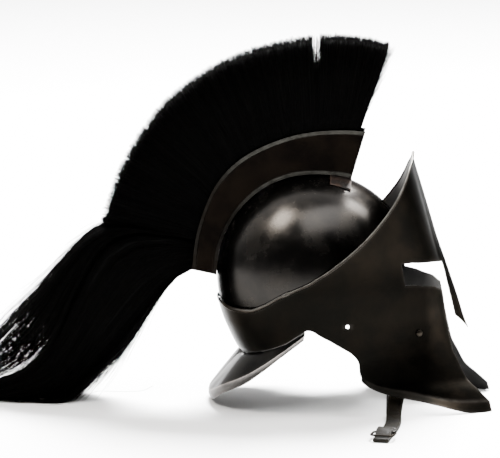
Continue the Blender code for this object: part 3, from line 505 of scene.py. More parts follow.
def useGroup(tree, name, **values):
    node = tree.nodes.new("ShaderNodeGroup")
    node.node_tree = groups[name]
    for label, value in values.items():
        label = label.replace("_", " ")
        if isinstance(value, (int, float)):
            node.inputs[label].default_value = value
        elif isinstance(value, tuple):
            node.inputs[label].default_value = (*value, 1.0)
        else:
            tree.links.new(value, node.inputs[label])
    return node


def attributeValue(tree, name):
    node = tree.nodes.new("ShaderNodeAttribute")
    node.attribute_name = name
    return node.outputs["Fac"]


def bumpInto(tree, shader, height, strength, distance):
    bump = addNode(tree, "ShaderNodeBump", Strength=strength, Distance=distance)
    tree.links.new(height, bump.inputs["Height"])
    tree.links.new(bump.outputs["Normal"], shader.inputs["Normal"])


# Every steel has these values where its own entry doesn't say otherwise
plainSteel = {
    "metallic": 1.0,
    "specular": 0.5,
    "insideColor": (0.055, 0.053, 0.051),
    "edgeShine": 0.5,
    "speckle": 0.3,
    "wear": 0.5,
    "pits": 0.03,
    "roughnessSpread": 0.07,
    "scratch": 0.1,
    "bump": 0.2,
    "bumpDepth": 0.001,
}
# The dome and the face plate are one blackened steel; the dome's lighter colour is painted light and the
# face's far darker one painted shade, which the rivets share
steelLooks = {
    "dome": {
        "dark": (0.038, 0.036, 0.034), "light": (0.062, 0.056, 0.05), "bare": (0.2, 0.18, 0.16),
        "patchScale": 26.0, "waveScale": 20.0, "roughness": 0.19,
        "edgeShine": 0.35, "speckle": 0.22, "wear": 0.25, "scratch": 0.06,
    },
    "face": {
        "dark": (0.003, 0.0028, 0.0023), "light": (0.008, 0.0062, 0.0044), "bare": (0.1, 0.09, 0.08),
        "patchScale": 20.0, "waveScale": 15.0, "roughness": 0.28,
        "insideColor": (0.036, 0.035, 0.034), "speckle": 0.25, "scratch": 0.08, "bump": 0.25,
    },
    "guard": {
        "dark": (0.03, 0.029, 0.028), "light": (0.05, 0.047, 0.044), "bare": (0.3, 0.27, 0.25),
        "patchScale": 24.0, "waveScale": 18.0, "roughness": 0.28,
        "speckle": 0.25, "wear": 0.6, "scratch": 0.08,
    },
    "rim": {
        "dark": (0.008, 0.007, 0.006), "light": (0.018, 0.015, 0.012), "bare": (0.12, 0.115, 0.105),
        "patchScale": 60.0, "waveScale": 60.0, "roughness": 0.3,
        "edgeShine": 0.4, "speckle": 0.4, "wear": 0.8, "pits": 0.1, "bump": 0.3,
    },
    "crest": {
        "dark": (0.001, 0.0008, 0.0007), "light": (0.0026, 0.0019, 0.0014), "bare": (0.022, 0.0215, 0.019),
        "patchScale": 30.0, "waveScale": 24.0, "roughness": 0.46,
        "edgeShine": 0.3, "wear": 0.75, "pits": 0.08, "bump": 0.25,
    },
    "saddle": {
        "dark": (0.004, 0.0034, 0.003), "light": (0.022, 0.012, 0.008), "bare": (0.09, 0.06, 0.045),
        "patchScale": 55.0, "waveScale": 60.0, "roughness": 0.5,
        "metallic": 0.5, "edgeShine": 0.4, "pits": 0.2, "bump": 0.3,
    },
    "fitting": {
        "dark": (0.003, 0.0027, 0.0022), "light": (0.009, 0.0076, 0.006), "bare": (0.05, 0.045, 0.04),
        "patchScale": 80.0, "waveScale": 80.0, "roughness": 0.34,
        "pits": 0.1,
    },
}


def steelFinish(name, look):
    # Mottled dark steel, bare where its edges are worn or carry a painted highlight, darkened in places by
    # painted shade, with a plain inside
    material, tree, shader = newMaterial(name, look["metallic"], look["specular"])
    shader.inputs["Specular Tint"].default_value = (*[look["edgeShine"]] * 3, 1.0)
    mottle = useGroup(tree, "mottle", dark=look["dark"], light=look["light"],
                      patch_scale=look["patchScale"], speckle=look["speckle"])
    wear = useGroup(tree, "wear", colour=mottle.outputs["colour"], bare=look["bare"],
                    edge=attributeValue(tree, "edge"), amount=look["wear"])
    hammer = useGroup(tree, "hammer", wave_scale=look["waveScale"], waves=1.0, pits=look["pits"])
    sides = useGroup(tree, "sides", colour=wear.outputs["colour"], inside_colour=look["insideColor"],
                     inside=attributeValue(tree, "inside"), soot=attributeValue(tree, "soot"))
    tree.links.new(sides.outputs["colour"], shader.inputs["Base Color"])
    rough = look["roughness"]
    gloss = mapRange(tree, mottle.outputs["patches"], 0.0, 1.0, rough, rough + look["roughnessSpread"])
    scratches = mathNode(tree, "MULTIPLY", hammer.outputs["scratch"], look["scratch"])
    gloss = mathNode(tree, "ADD", gloss, scratches, clamp=True)
    tree.links.new(gloss, shader.inputs["Roughness"])
    bumpInto(tree, shader, hammer.outputs["height"], look["bump"], look["bumpDepth"])
    return material


leatherLook = {
    "dark": (0.0014, 0.0011, 0.0006),
    "light": (0.0044, 0.0032, 0.0016),
    "worn": (0.0085, 0.0064, 0.0031),
    "specular": 0.06,
    "roughness": 0.5,
    "roughnessSpread": 0.12,
    "patchScale": 90.0,
    "speckle": 0.5,
    "wear": 0.5,
    "pitScale": 260.0,
    "pits": 0.6,
    "grain": 0.5,
    "grainDepth": 0.0006,
    "threadDark": (0.009, 0.0074, 0.004),
    "threadLight": (0.020, 0.017, 0.0105),
    "threadSpecular": 0.05,
    "threadRoughness": 0.7,
    "threadPatchScale": 150.0,
    "threadSpeckle": 0.4,
}


def leatherFinish():
    # Mottled leather, paler where its edges are worn, with a fine grain in the bump
    material, tree, shader = newMaterial("strapLeather", 0.0, leatherLook["specular"])
    mottle = useGroup(tree, "mottle", dark=leatherLook["dark"], light=leatherLook["light"],
                      patch_scale=leatherLook["patchScale"], speckle=leatherLook["speckle"])
    wear = useGroup(tree, "wear", colour=mottle.outputs["colour"], bare=leatherLook["worn"],
                    edge=attributeValue(tree, "edge"), amount=leatherLook["wear"])
    hammer = useGroup(tree, "hammer", wave_scale=leatherLook["pitScale"], waves=1.0, pits=leatherLook["pits"])
    tree.links.new(wear.outputs["colour"], shader.inputs["Base Color"])
    rough = leatherLook["roughness"]
    gloss = mapRange(tree, mottle.outputs["patches"], 0.0, 1.0, rough, rough + leatherLook["roughnessSpread"])
    tree.links.new(gloss, shader.inputs["Roughness"])
    bumpInto(tree, shader, hammer.outputs["height"], leatherLook["grain"], leatherLook["grainDepth"])
    return material


def threadFinish():
    # One pale waxed thread, broken up by the mottle's speckles
    material, tree, shader = newMaterial("seamThread", 0.0, leatherLook["threadSpecular"])
    mottle = useGroup(tree, "mottle", dark=leatherLook["threadDark"], light=leatherLook["threadLight"],
                      patch_scale=leatherLook["threadPatchScale"], speckle=leatherLook["threadSpeckle"])
    tree.links.new(mottle.outputs["colour"], shader.inputs["Base Color"])
    shader.inputs["Roughness"].default_value = leatherLook["threadRoughness"]
    return material


hairLooks = {
    "brush": {"dark": (0.0002, 0.0002, 0.0002), "light": (0.0012, 0.0011, 0.001),
              "specular": 0.008, "roughness": 0.6},
    "tail": {"dark": (0.0002, 0.0002, 0.0002), "light": (0.002, 0.0018, 0.0016),
             "specular": 0.012, "roughness": 0.55},
}


def hairFinish(name, look):
    # Black hair whose tone changes from strand to strand and towards the tip, partly as painted sheen and
    # back light
    material, tree, shader = newMaterial(name, 0.0, look["specular"])
    hair = useGroup(tree, "hair", dark=look["dark"], light=look["light"],
                    tone=attributeValue(tree, "tone"), along=attributeValue(tree, "along"))
    tree.links.new(hair.outputs["colour"], shader.inputs["Base Color"])
    shader.inputs["Roughness"].default_value = look["roughness"]
    return material


finishes = {name: steelFinish(name + "Steel", {**plainSteel, **look}) for name, look in steelLooks.items()}
finishes["leather"] = leatherFinish()
finishes["thread"] = threadFinish()
for hairName, hairLook in hairLooks.items():
    finishes[hairName] = hairFinish(hairName + "Hair", hairLook)
print("finishes made")


# Worn and painted places of the face plate: wear values at its borders, wear and a painted highlight along
# the lip's crease and the ridge, with the reach of each, and painted shade that fades towards the front edge,
# the top and the nape
facePaint = {
    "border": 0.35,
    "borderReach": 0.9,
    "ridge": 0.2,
    "ridgeReach": 1.5,
    "ridgeRows": 30,
    "frontFade": (124.0, 142.0),
    "soot": 0.82,
    "topLess": 0.26,
    "topFade": (150.0, 200.0),
    "napeShadeShare": 0.25,
    "napeFade": (-112.0, -84.0),
}


def shellSheet():
    # Rows run from the rim over the eye opening to the bottom edge, columns from nape to ridge
    base = finer(shell["baseAngles"], shell["columnSteps"])
    rim, top, low, bottom = (shellEdge(name, base) for name in ("rim", "eyeTop", "eyeBottom", "bottom"))
    share = (base - shell["nasalColumn"]) / (180.0 - shell["nasalColumn"])
    tip = (shell["nasalCorner"] + (shell["nasalTip"] - shell["nasalCorner"]) * share) * shell["browHeight"]
    bottom = np.where(base > shell["nasalColumn"] - 0.5, tip, bottom)
    edges = (rim, top, low, bottom)
    rows = []
    for start, end, count in zip(edges, edges[1:], (shell["browRows"], shell["eyeRows"], shell["cheekRows"])):
        rows += [start + (end - start) * step for step in np.linspace(0, 1, count + 1)[:-1]]
    heights = np.array(rows + [bottom])
    return base, heights, shellAngles(base, heights)


def lipEdge(angles, heights, base):
    # The turned-out lip: outward by the spread, down by its depth, and never below the table
    grow = np.clip((base - shell["lipFrom"]) / shell["lipOver"], 0, 1)
    spread = shell["lipSpread"] * (shell["lipLeast"] + (1 - shell["lipLeast"]) * grow)
    edge = shellPoint(angles, heights) + shellOutward(angles, heights) * spread[:, None]
    edge[:, 2] = np.maximum(heights - smoothCurve(shell["lipAngle"], shell["lipDepth"], base), 0.0)
    edge[:, 0] += shell["lipPush"] * np.clip((base - shell["pushFrom"]) / shell["pushOver"], 0, 1)
    return edge


def openHole(heights, angles):
    # A ring of sixteen grid points round the hole's centre is moved onto the hole's circle
    level = np.array(shell["holeHeight"])
    points = shellPoint(angles, heights)
    gap = np.hypot(points[..., 0] - shell["holeForward"], points[..., 2] - level)
    gap[:shell["browRows"] + shell["eyeRows"]] = np.inf
    row, column = np.unravel_index(np.argmin(gap), gap.shape)
    near = angles[row, column]
    forward = shellPoint(near, level)[0]
    middle = near + (shell["holeForward"] - forward) / (shellPoint(near + 1.0, level)[0] - forward)
    perDegree = np.linalg.norm(shellPoint(middle + 0.5, level) - shellPoint(middle - 0.5, level))
    side = np.arange(-2, 2)
    two = 0 * side + 2
    rows, columns = np.concatenate([[-two, side], [side, two], [two, -side], [-side, -two]], axis=1)
    turn = np.arctan2(-rows, columns)
    heights[row + rows, column + columns] = shell["holeHeight"] + shell["holeRadius"] * np.sin(turn)
    angles[row + rows, column + columns] = middle + shell["holeRadius"] * np.cos(turn) / perDegree
    return row, column


def faceKeep(rows, columns, row, column):
    # Which cells are sheet: all but the eye, the mouth, the hole, and the lip beyond the cheek
    parts = shell["columnSteps"]
    keep = np.ones((rows, columns), bool)
    eye = slice(shell["browRows"], shell["browRows"] + shell["eyeRows"])
    keep[eye, shell["eyeAt"] * parts:shell["nasalAt"] * parts] = False
    keep[eye.stop:, shell["cheekAt"] * parts:shell["nasalAt"] * parts] = False
    keep[-shell["lipRows"]:, :shell["cornerAt"] * parts] = False
    keep[-shell["lipRows"]:, shell["nasalAt"] * parts:] = False
    keep[row - 2:row + 2, column - 2:column + 2] = False
    return np.concatenate([keep, keep[:, ::-1]], axis=1)


def faceValues(points, border, half):
    # Wear that falls off from the borders, wear and a painted highlight along the lip's crease and the ridge,
    # and painted shade by place
    parts = shell["columnSteps"]
    crease = half[-shell["lipRows"] - 1, shell["cornerAt"] * parts:shell["cheekAt"] * parts]
    crease = np.concatenate([crease, crease * mirror])
    ridge = half[:shell["browRows"] + facePaint["ridgeRows"], -1]
    reach = facePaint["borderReach"]
    # Bare colour along the lip's crease and the ridge is a painted highlight line as well as their wear
    edge = np.maximum(nearBorder(points, border, reach), nearLine(points, crease, reach))
    edge = facePaint["border"] * edge
    edge = np.maximum(edge, facePaint["ridge"] * nearLine(points, ridge, facePaint["ridgeReach"]))
    # Painted shade: darker behind the front edge, a little less near the top and towards the nape
    ahead = smoothStep(*facePaint["frontFade"], points[:, 0])
    high = smoothStep(*facePaint["topFade"], points[:, 2])
    forward = smoothStep(*facePaint["napeFade"], points[:, 0])
    soot = (1 - ahead) * (facePaint["soot"] - facePaint["topLess"] * high)
    soot = soot * (facePaint["napeShadeShare"] + (1 - facePaint["napeShadeShare"]) * forward)
    return {"edge": edge, "inside": np.arange(len(points)) >= len(points) // 2, "soot": soot}


def makeFacePlate():
    # The shell function over rows of height and columns of angle, without its eye and mouth openings
    base, heights, angles = shellSheet()
    lip = lipEdge(angles[-1], heights[-1], base)
    row, column = openHole(heights, angles)
    half = shellPoint(angles, heights)
    steps = np.linspace(0, 1, shell["lipRows"] + 1)[1:, None, None]
    half = np.concatenate([half, half[-1] * (1 - steps) + lip * steps])
    whole = fullRound(half)
    rows, columns = whole.shape[:2]
    keep = faceKeep(rows - 1, half.shape[1] - 1, row, column)
    quads = gridQuads(rows, columns, roundColumns=True, keep=keep)
    points, quads, border = thickened(whole.reshape(-1, 3), quads, shell["wall"])
    points[:, 2] = np.maximum(points[:, 2], 0.0)
    piece = addMesh("facePlate", points, [quads], finishes["face"], values=faceValues(points, border, half))
    roundedEdges(piece, width=0.45, angle=32.0)
    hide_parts("face_plate")


makeFacePlate()
print("face plate made")

# Rolled edge along the upper border of the face plate, round at the brow and tall and flat at the nape
rolledEdge = {
    "radius": 1.6,
    "napeDepth": 1.0,
    "napeHeight": 2.7,
    "napeFrom": 80.0,
    "napeOver": 50.0,
    "inset": 0.6,
    "gap": 0.35,
    "corners": 24,
    "grooveDepth": 0.26,
    "grooveWidth": 0.4,
    "grooveAt": 0.35,
    "weldForward": -37.0,
    "weldLength": 3.4,
    "weldRise": 0.5,
    "weldWear": 0.3,
    "paintedHighlightAt": 1.1,
    "napeHighlightShare": 0.1,
}


def rimPath():
    # The shell's upper edge, raised square to itself by the ring's half height and moved out by its half
    # depth, with the ways from it to the ring's top and outer side, and the nape's share
    base, heights, angles = shellSheet()
    edge, below = fullRound(shellPoint(angles[:2], heights[:2]))
    along = unitRows(np.roll(edge, -1, axis=0) - np.roll(edge, 1, axis=0))
    climb = edge - below
    climb = unitRows(climb - along * np.sum(climb * along, axis=1, keepdims=True))
    away = unitRows(np.cross(climb, along))
    level = (edge - [shell["widestAt"], 0.0, 0.0]) * [1.0, 1.0, 0.0]
    away *= np.sign(np.sum(away * level, axis=1, keepdims=True))
    base = np.concatenate([base, base[-2:0:-1]])
    nape = np.clip((rolledEdge["napeFrom"] - base) / rolledEdge["napeOver"], 0, 1)[:, None]
    deep = rolledEdge["radius"] + (rolledEdge["napeDepth"] - rolledEdge["radius"]) * nape
    tall = rolledEdge["radius"] + (rolledEdge["napeHeight"] - rolledEdge["radius"]) * nape
    path = edge + climb * (tall + rolledEdge["gap"]) + away * (deep - rolledEdge["inset"])
    return path, climb * tall, away * deep, nape


def makeRolledEdge():
    # Oval rings along the path, cos t deep + sin t tall, less a groove on the outer side and more at a weld
    path, climb, away, nape = rimPath()
    turns = evenTurns(rolledEdge["corners"])
    fromGroove = np.angle(np.exp(1j * (turns - rolledEdge["grooveAt"])))
    groove = rolledEdge["grooveDepth"] * np.exp(-(fromGroove / rolledEdge["grooveWidth"]) ** 2)
    fromWeld = (path[:, :1] - rolledEdge["weldForward"]) / rolledEdge["weldLength"]
    weld = np.exp(-fromWeld**2) * (path[:, 1:2] < 0)
    size = (1 - groove * (1 - nape)) * (1 + rolledEdge["weldRise"] * weld)
    points = (path[:, None] + size[..., None] * spokes(away, climb, len(turns))).reshape(-1, 3)
    quads = gridQuads(len(path), len(turns), roundColumns=True, roundRows=True)
    # Painted highlight: bare colour round the top outer side of each ring, only a small share at the nape;
    # wear at the weld
    paintedHighlight = np.clip(np.cos(turns - rolledEdge["paintedHighlightAt"]), 0, 1) ** 2
    edge = paintedHighlight * (1 - (1 - rolledEdge["napeHighlightShare"]) * nape) + rolledEdge["weldWear"] * weld
    piece = addMesh("browRim", points, outwards(points, [quads]), finishes["rim"],
                    values={"edge": np.clip(edge, 0, 1).ravel()})
    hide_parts("brow_rim")


makeRolledEdge()
print("rolled edge made")

# The dome: a half ellipsoid whose lower edge turns out to the inside of the face plate. Its painted shade
# grows with the share of the way down.
dome = {
    "middle": -8.0,
    "back": 115.7,
    "front": 121.0,
    "side": 96.0,
    "waist": 155.0,
    "rise": 122.0,
    "clearance": 0.9,
    "rows": 64,
    "bendRows": 12,
    "columnSteps": 4,
    "ledgeAngle": [0, 90, 108, 117, 128, 139, 153, 167, 180],
    "ledgeDepth": [5.0, 5.5, 8.0, 13.0, 29.0, 46.0, 70.0, 84.0, 92.0],
    "overLedge": 4.0,
    "ledgeLean": 0.12,
    "kneeOut": 0.38,
    "kneeDown": 0.65,
    "soot": 0.86,
    "sootFade": (0.46, 0.86),
}


def domeHalf():
    # x = middle + ray sin t cos p, y = ray sin t sin p, z = waist + rise cos t, and then a skirt to the
    # ledge, last (1-s)^2 + 2 knee s (1-s) + edge s^2
    base = finer(shell["baseAngles"], dome["columnSteps"])
    depth = smoothCurve(dome["ledgeAngle"], dome["ledgeDepth"], base)
    low = shellEdge("rim", base) - depth
    angle = shellAngles(base, low)
    edge = shellPoint(angle, low) - shellOutward(angle, low) * (shell["wall"] + dome["clearance"])
    turn = np.arctan2(edge[:, 1], edge[:, 0] - dome["middle"])
    length = np.where(np.cos(turn) > 0, dome["front"], dome["back"])
    ray = 1 / np.sqrt((np.cos(turn) / length) ** 2 + (np.sin(turn) / dome["side"]) ** 2)
    above = low + dome["overLedge"] + dome["ledgeLean"] * depth
    polar = np.arccos(np.clip((above - dome["waist"]) / dome["rise"], -1, 1))
    polar = polar * np.linspace(0, 1, dome["rows"] + 1)[1:, None]
    out = ray * np.sin(polar)
    x = dome["middle"] + out * np.cos(turn)
    cap = np.stack([x, out * np.sin(turn), dome["waist"] + dome["rise"] * np.cos(polar)], axis=-1)
    last = cap[-1]
    knee = (1 - dome["kneeOut"]) * last + dome["kneeOut"] * edge
    knee[:, 2] = (1 - dome["kneeDown"]) * last[:, 2] + dome["kneeDown"] * edge[:, 2]
    step = np.linspace(0, 1, dome["bendRows"] + 1)[1:, None, None]
    skirt = last * (1 - step) ** 2 + 2 * knee * step * (1 - step) + edge * step**2
    return np.concatenate([cap, skirt])


def makeDome():
    # The half and its mirror image with a point at the top, the inner wall, and a strip that joins the two
    # along their lower edges
    whole = fullRound(domeHalf())
    rows, columns = whole.shape[:2]
    outer = whole.reshape(-1, 3)
    top = np.array([[dome["middle"], 0.0, dome["waist"] + dome["rise"]]])
    quads = gridQuads(rows, columns, roundColumns=True)
    way = facing(outer, quads, outer.mean(axis=0))
    inner = outer - shell["wall"] * pointNormals(outer, quads) * way
    quads = quads if way > 0 else quads[:, ::-1]
    points = np.concatenate([outer, top, inner, top - shell["wall"] * upward])
    count = len(outer) + 1
    place = np.arange(columns)
    after = (place + 1) % columns
    fan = outwards(points, [np.stack([0 * place + count - 1, place, after], axis=1)])[0]
    low = (rows - 1) * columns
    strip = np.stack([low + place, low + after, low + after + count, low + place + count], axis=1)
    first, second, third = points[strip[0, :3]]
    strip = strip if np.cross(second - first, third - first)[2] < 0 else strip[:, ::-1]
    # Painted shade: the lower rows of the dome darkened towards the ledge
    soot = dome["soot"] * smoothStep(*dome["sootFade"], np.arange(rows) / dome["rows"])
    soot = np.append(np.repeat(soot, columns), 0.0)
    faces = [np.concatenate([quads, quads[:, ::-1] + count, strip])]
    faces.append(np.concatenate([fan, fan[:, ::-1] + count]))
    piece = addMesh("skullBowl", points, faces, finishes["dome"],
                    values={"soot": np.tile(soot, 2), "inside": np.arange(2 * count) >= count})
    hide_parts("skull_bowl")


makeDome()
print("dome made")

# The flared neck guard: a flange inside the shell's lower edge, the flare and its turned-down lip. The
# flange fits closer and the seam grows beside the arch, and the lip curls in where it is deep.
neckGuard = {
    "columns": [0, 10, 20, 30, 40, 50, 60, 70, 79, 84.5],
    "columnSteps": 6,
    "seam": 0.8,
    "sideFrom": 70.0,
    "sideOver": 14.5,
    "flange": 4.5,
    "flangeRows": 4,
    "clearance": 0.5,
    "napeTuck": 0.5,
    "napeOver": 40.0,
    "angle": [0, 15, 30, 45, 60, 72, 80, 86],
    "flare": [42.0, 39.2, 35.0, 28.2, 19.6, 12.5, 8.0, 4.5],
    "drop": [45.5, 44.2, 36.8, 27.8, 16.0, 7.0, 4.2, 2.0],
    "lip": [14.0, 11.6, 10.2, 10.0, 7.4, 5.4, 5.0, 4.6],
    "share": [0.0, 0.12, 0.4, 0.7, 1.0],
    "sink": [0.0, 0.07, 0.34, 0.67, 1.0],
    "skirtRows": 14,
    "lipRows": 8,
    "curlFrom": 0.42,
    "curl": 0.26,
    "curlDepth": 12.0,
    "within": (0.0, 0.0, 30.0),
    "borderWear": 0.3,
    "wearReach": 0.9,
}


def guardRows(base):
    # Flange inside the shell, then out by flare times share and down by drop times sink, then the lip
    height = shellEdge("bottom", base)
    flare, drop, lip = readCurves(neckGuard, "angle", ("flare", "drop", "lip"), base)
    away = shellOutward(base, height)
    start = shellPoint(base, height)
    side = np.clip((base - neckGuard["sideFrom"]) / neckGuard["sideOver"], 0, 1)
    start[:, 2] -= neckGuard["seam"] * (1 + side)
    nape = np.clip((neckGuard["sideFrom"] - base) / neckGuard["napeOver"], 0, 1)
    tuck = (shell["wall"] + neckGuard["clearance"]) * (1 + neckGuard["napeTuck"] * nape)[:, None]
    over = height + neckGuard["flange"]
    top = shellPoint(base, over) - shellOutward(base, over) * tuck
    bend = start - away * tuck
    flange = top + (bend - top) * np.linspace(0, 1, neckGuard["flangeRows"])[:, None, None]
    share = np.linspace(neckGuard["share"][1], 1, neckGuard["skirtRows"])
    sink = smoothCurve(neckGuard["share"], neckGuard["sink"], share)[:, None] * drop
    skirt = start + away * (share[:, None] * flare)[..., None] - sink[..., None] * upward
    reach = bend + (skirt[0] - bend) * np.array([1 / 3, 2 / 3])[:, None, None]
    step = np.linspace(0, 1, neckGuard["lipRows"] + 1)[1:, None]
    curl = smoothCurve([0.0, neckGuard["curlFrom"], 1.0], [0.0, 0.0, neckGuard["curl"]], step)
    inward = curl * lip * np.clip(lip / neckGuard["curlDepth"], 0, 1)
    turned = skirt[-1] - away * inward[..., None] - (lip * step)[..., None] * upward
    return np.concatenate([flange, reach, skirt, turned]), len(flange) + len(reach) + len(skirt) - 1


def makeNeckGuard():
    # The half from the nape to the side arch and its mirror image, thickened inward
    half, creaseRow = guardRows(finer(neckGuard["columns"], neckGuard["columnSteps"]))
    half[:, 0, 1] = 0.0
    half[..., 2] = np.maximum(half[..., 2], 0.0)
    whole = np.concatenate([(half * mirror)[:, :0:-1], half], axis=1)
    flat = whole.reshape(-1, 3)
    quads = gridQuads(*whole.shape[:2])
    quads = quads[:, ::-1] if facing(flat, quads, neckGuard["within"]) < 0 else quads
    points, quads, border = thickened(flat, quads, shell["wall"])
    points[:, 2] = np.maximum(points[:, 2], 0.0)
    reach = neckGuard["wearReach"]
    worn = nearBorder(points, border, reach) * neckGuard["borderWear"]
    # Painted highlight: full bare colour along the crease of the bend, with its wear; the borders are worn
    worn = np.maximum(worn, nearLine(points, whole[creaseRow], reach))
    piece = addMesh("neckGuard", points, [quads], finishes["guard"], values={"edge": worn})
    roundedEdges(piece, width=0.5, angle=30.0)
    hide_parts("neck_guard")


makeNeckGuard()
print("neck guard made")

# Side view of the crest box from its front end to its rear end, its walls seen as shares of their height
# down from the outer line, its hems, which wear less towards the rear, and the plates that close its ends
crestBox = {
    "halfWidth": 15.5,
    "widen": 0.04,
    "wall": 1.4,
    "steps": 120,
    "hemEdge": (4.1, 4.8),
    "hemRise": 0.7,
    "hemFade": (0.45, 0.72),
    "hemFadeBy": 0.85,
    "hemSteps": 13,
    "wallSteps": 8,
    "hemShare": 0.15,
    "floorShare": 0.75,
    "floorColumns": 7,
    "skirt": 1.2,
    "insideWear": 0.2,
    "plateCorners": 9,
    "plateInset": 0.7,
    "plateSpan": (0.01, 0.985),
    "plateDepth": 0.5,
    "along": [0.0, 0.1, 0.2, 0.3, 0.4, 0.5, 0.6, 0.7, 0.8, 0.9, 1.0],
    "innerX": [38.2, 17.9, -4.0, -26.9, -48.5, -69.9, -89.0, -104.8, -116.0, -122.6, -124.6],
    "innerZ": [274.6, 277.8, 278.8, 277.0, 270.9, 259.8, 243.5, 223.5, 201.2, 177.7, 155.0],
    "outerX": [54.0, 30.0, 4.0, -26.0, -56.0, -84.0, -108.0, -127.0, -140.0, -149.0, -153.0],
    "outerZ": [329.0, 330.5, 329.5, 325.0, 315.5, 302.0, 283.5, 258.5, 228.5, 195.5, 161.0],
}


def boxLine(name, along):
    x, z = readCurves(crestBox, "along", (name + "X", name + "Z"), along)
    return np.stack([x, 0 * x, z], axis=-1)


def boxSurface(inner, outer):
    # A U profile carried along the arc: both walls from the outer line to just past the inner line, raised
    # at their hems, and the floor between them
    tall = np.linalg.norm(outer - inner, axis=1) + crestBox["skirt"]
    past = (tall / (tall - crestBox["skirt"]))[:, None, None]
    share = crestBox["hemShare"]
    upper = np.linspace(0, share, crestBox["hemSteps"] + 1)[:-1]
    lower = np.linspace(1 - share, 1.0, crestBox["hemSteps"] + 1)
    down = np.concatenate([upper, np.linspace(share, 1 - share, crestBox["wallSteps"] + 1)[:-1], lower])
    toEdge = np.minimum(down * tall[:, None], (1 - down) * tall[:, None])
    hem = crestBox["hemRise"] * (1 - smoothStep(*crestBox["hemEdge"], toEdge))
    half = crestBox["halfWidth"] * (1 + crestBox["widen"] * (1 - down) ** 2) + hem
    middle = outer[:, None] + (inner - outer)[:, None] * down[None, :, None] * past
    wall = half[..., None] * sideways
    floor = np.linspace(crestBox["floorShare"], -crestBox["floorShare"], crestBox["floorColumns"])
    bottom = inner[:, None] + (crestBox["halfWidth"] * floor)[:, None] * sideways
    return np.concatenate([middle + wall, bottom, (middle - wall)[:, ::-1]], axis=1), hem


def endPlate(low, high, inward):
    # Flat plate across the trough's end, low to high in its middle, given the wall's thickness
    across = np.linspace(-1, 1, crestBox["plateCorners"]) * (crestBox["halfWidth"] - crestBox["plateInset"])
    up = np.linspace(*crestBox["plateSpan"], crestBox["plateCorners"])
    face = low + (high - low) * up[:, None, None] + across[:, None] * sideways
    flat = (face + unitRows(inward) * crestBox["plateDepth"]).reshape(-1, 3)
    quads = gridQuads(len(up), len(across))
    quads = quads[:, ::-1] if faceDirections(flat, quads).sum(axis=0) @ inward > 0 else quads
    return thickened(flat, quads, crestBox["wall"])[:2]


def makeCrestBox():
    # The trough's sheet and the two end plates in one mesh, worn along the hems
    along = np.linspace(0, 1, crestBox["steps"] + 1)
    inner, outer = boxLine("inner", along), boxLine("outer", along)
    whole, hem = boxSurface(inner, outer)
    rows, columns = whole.shape[:2]
    flat = whole.reshape(-1, 3)
    quads = gridQuads(rows, columns)
    middle = np.repeat(0.5 * (inner + outer)[:-1], columns - 1, axis=0)
    quads = quads[:, ::-1] if facing(flat, quads, middle) < 0 else quads
    points, quads = thickened(flat, quads, crestBox["wall"])[:2]
    rear = smoothStep(*crestBox["hemFade"], along)[:, None]
    shade = (hem / crestBox["hemRise"]) ** 0.5 * (1 - crestBox["hemFadeBy"] * rear)
    edge = np.concatenate([shade, np.zeros((rows, crestBox["floorColumns"])), shade[:, ::-1]], axis=1).ravel()
    faces, edges = [quads], [edge, edge * crestBox["insideWear"]]
    for end, beside in ((0, 1), (-1, -2)):
        platePoints, plateQuads = endPlate(inner[end], outer[end], inner[beside] - inner[end])
        faces.append(plateQuads + len(points))
        edges.append(np.zeros(len(platePoints)))
        points = np.concatenate([points, platePoints])
    piece = addMesh("crestBox", points, faces, finishes["crest"], values={"edge": np.concatenate(edges)})
    roundedEdges(piece, width=0.35, angle=40.0)
    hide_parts("crest_box")


makeCrestBox()
print("crest box made")

# The strip over the dome and the block on it that carry the crest box's front end
saddle = {
    "rear": 12.5,
    "front": 37.5,
    "rings": 11,
    "halfLength": 34.0,
    "blockFrom": 16.0,
    "blockTo": 13.0,
    "blockSide": (13.6, 15.4),
    "topColumns": 9,
    "sideColumns": 4,
    "stripColumns": 8,
    "slopeShare": 0.12,
    "lift": 0.8,
    "strip": 2.2,
    "under": 0.7,
    "wear": 0.5,
    "wearReach": 0.8,
}


def domeHeight(x, y):
    # Height of the dome's half ellipsoid over the level place (x, y)
    reach = np.where(x > dome["middle"], dome["front"], dome["back"])
    flat = 1 - ((x - dome["middle"]) / reach) ** 2 - (y / dome["side"]) ** 2
    return dome["waist"] + dome["rise"] * np.sqrt(np.clip(flat, 0, 1))


def loftStrips(rings):
    # Closed body through rings of an even number of points, whose ends are strips between opposite points
    total, count = rings.shape[:2]
    points = rings.reshape(-1, 3)
    place = np.arange(count // 2 - 1)
    cap = np.stack([place, place + 1, count - 2 - place, count - 1 - place], axis=1)
    sides = gridQuads(total, count, roundColumns=True)
    quads = np.concatenate([sides, cap[:, ::-1], cap + (total - 1) * count])
    return points, outwards(points, [quads])


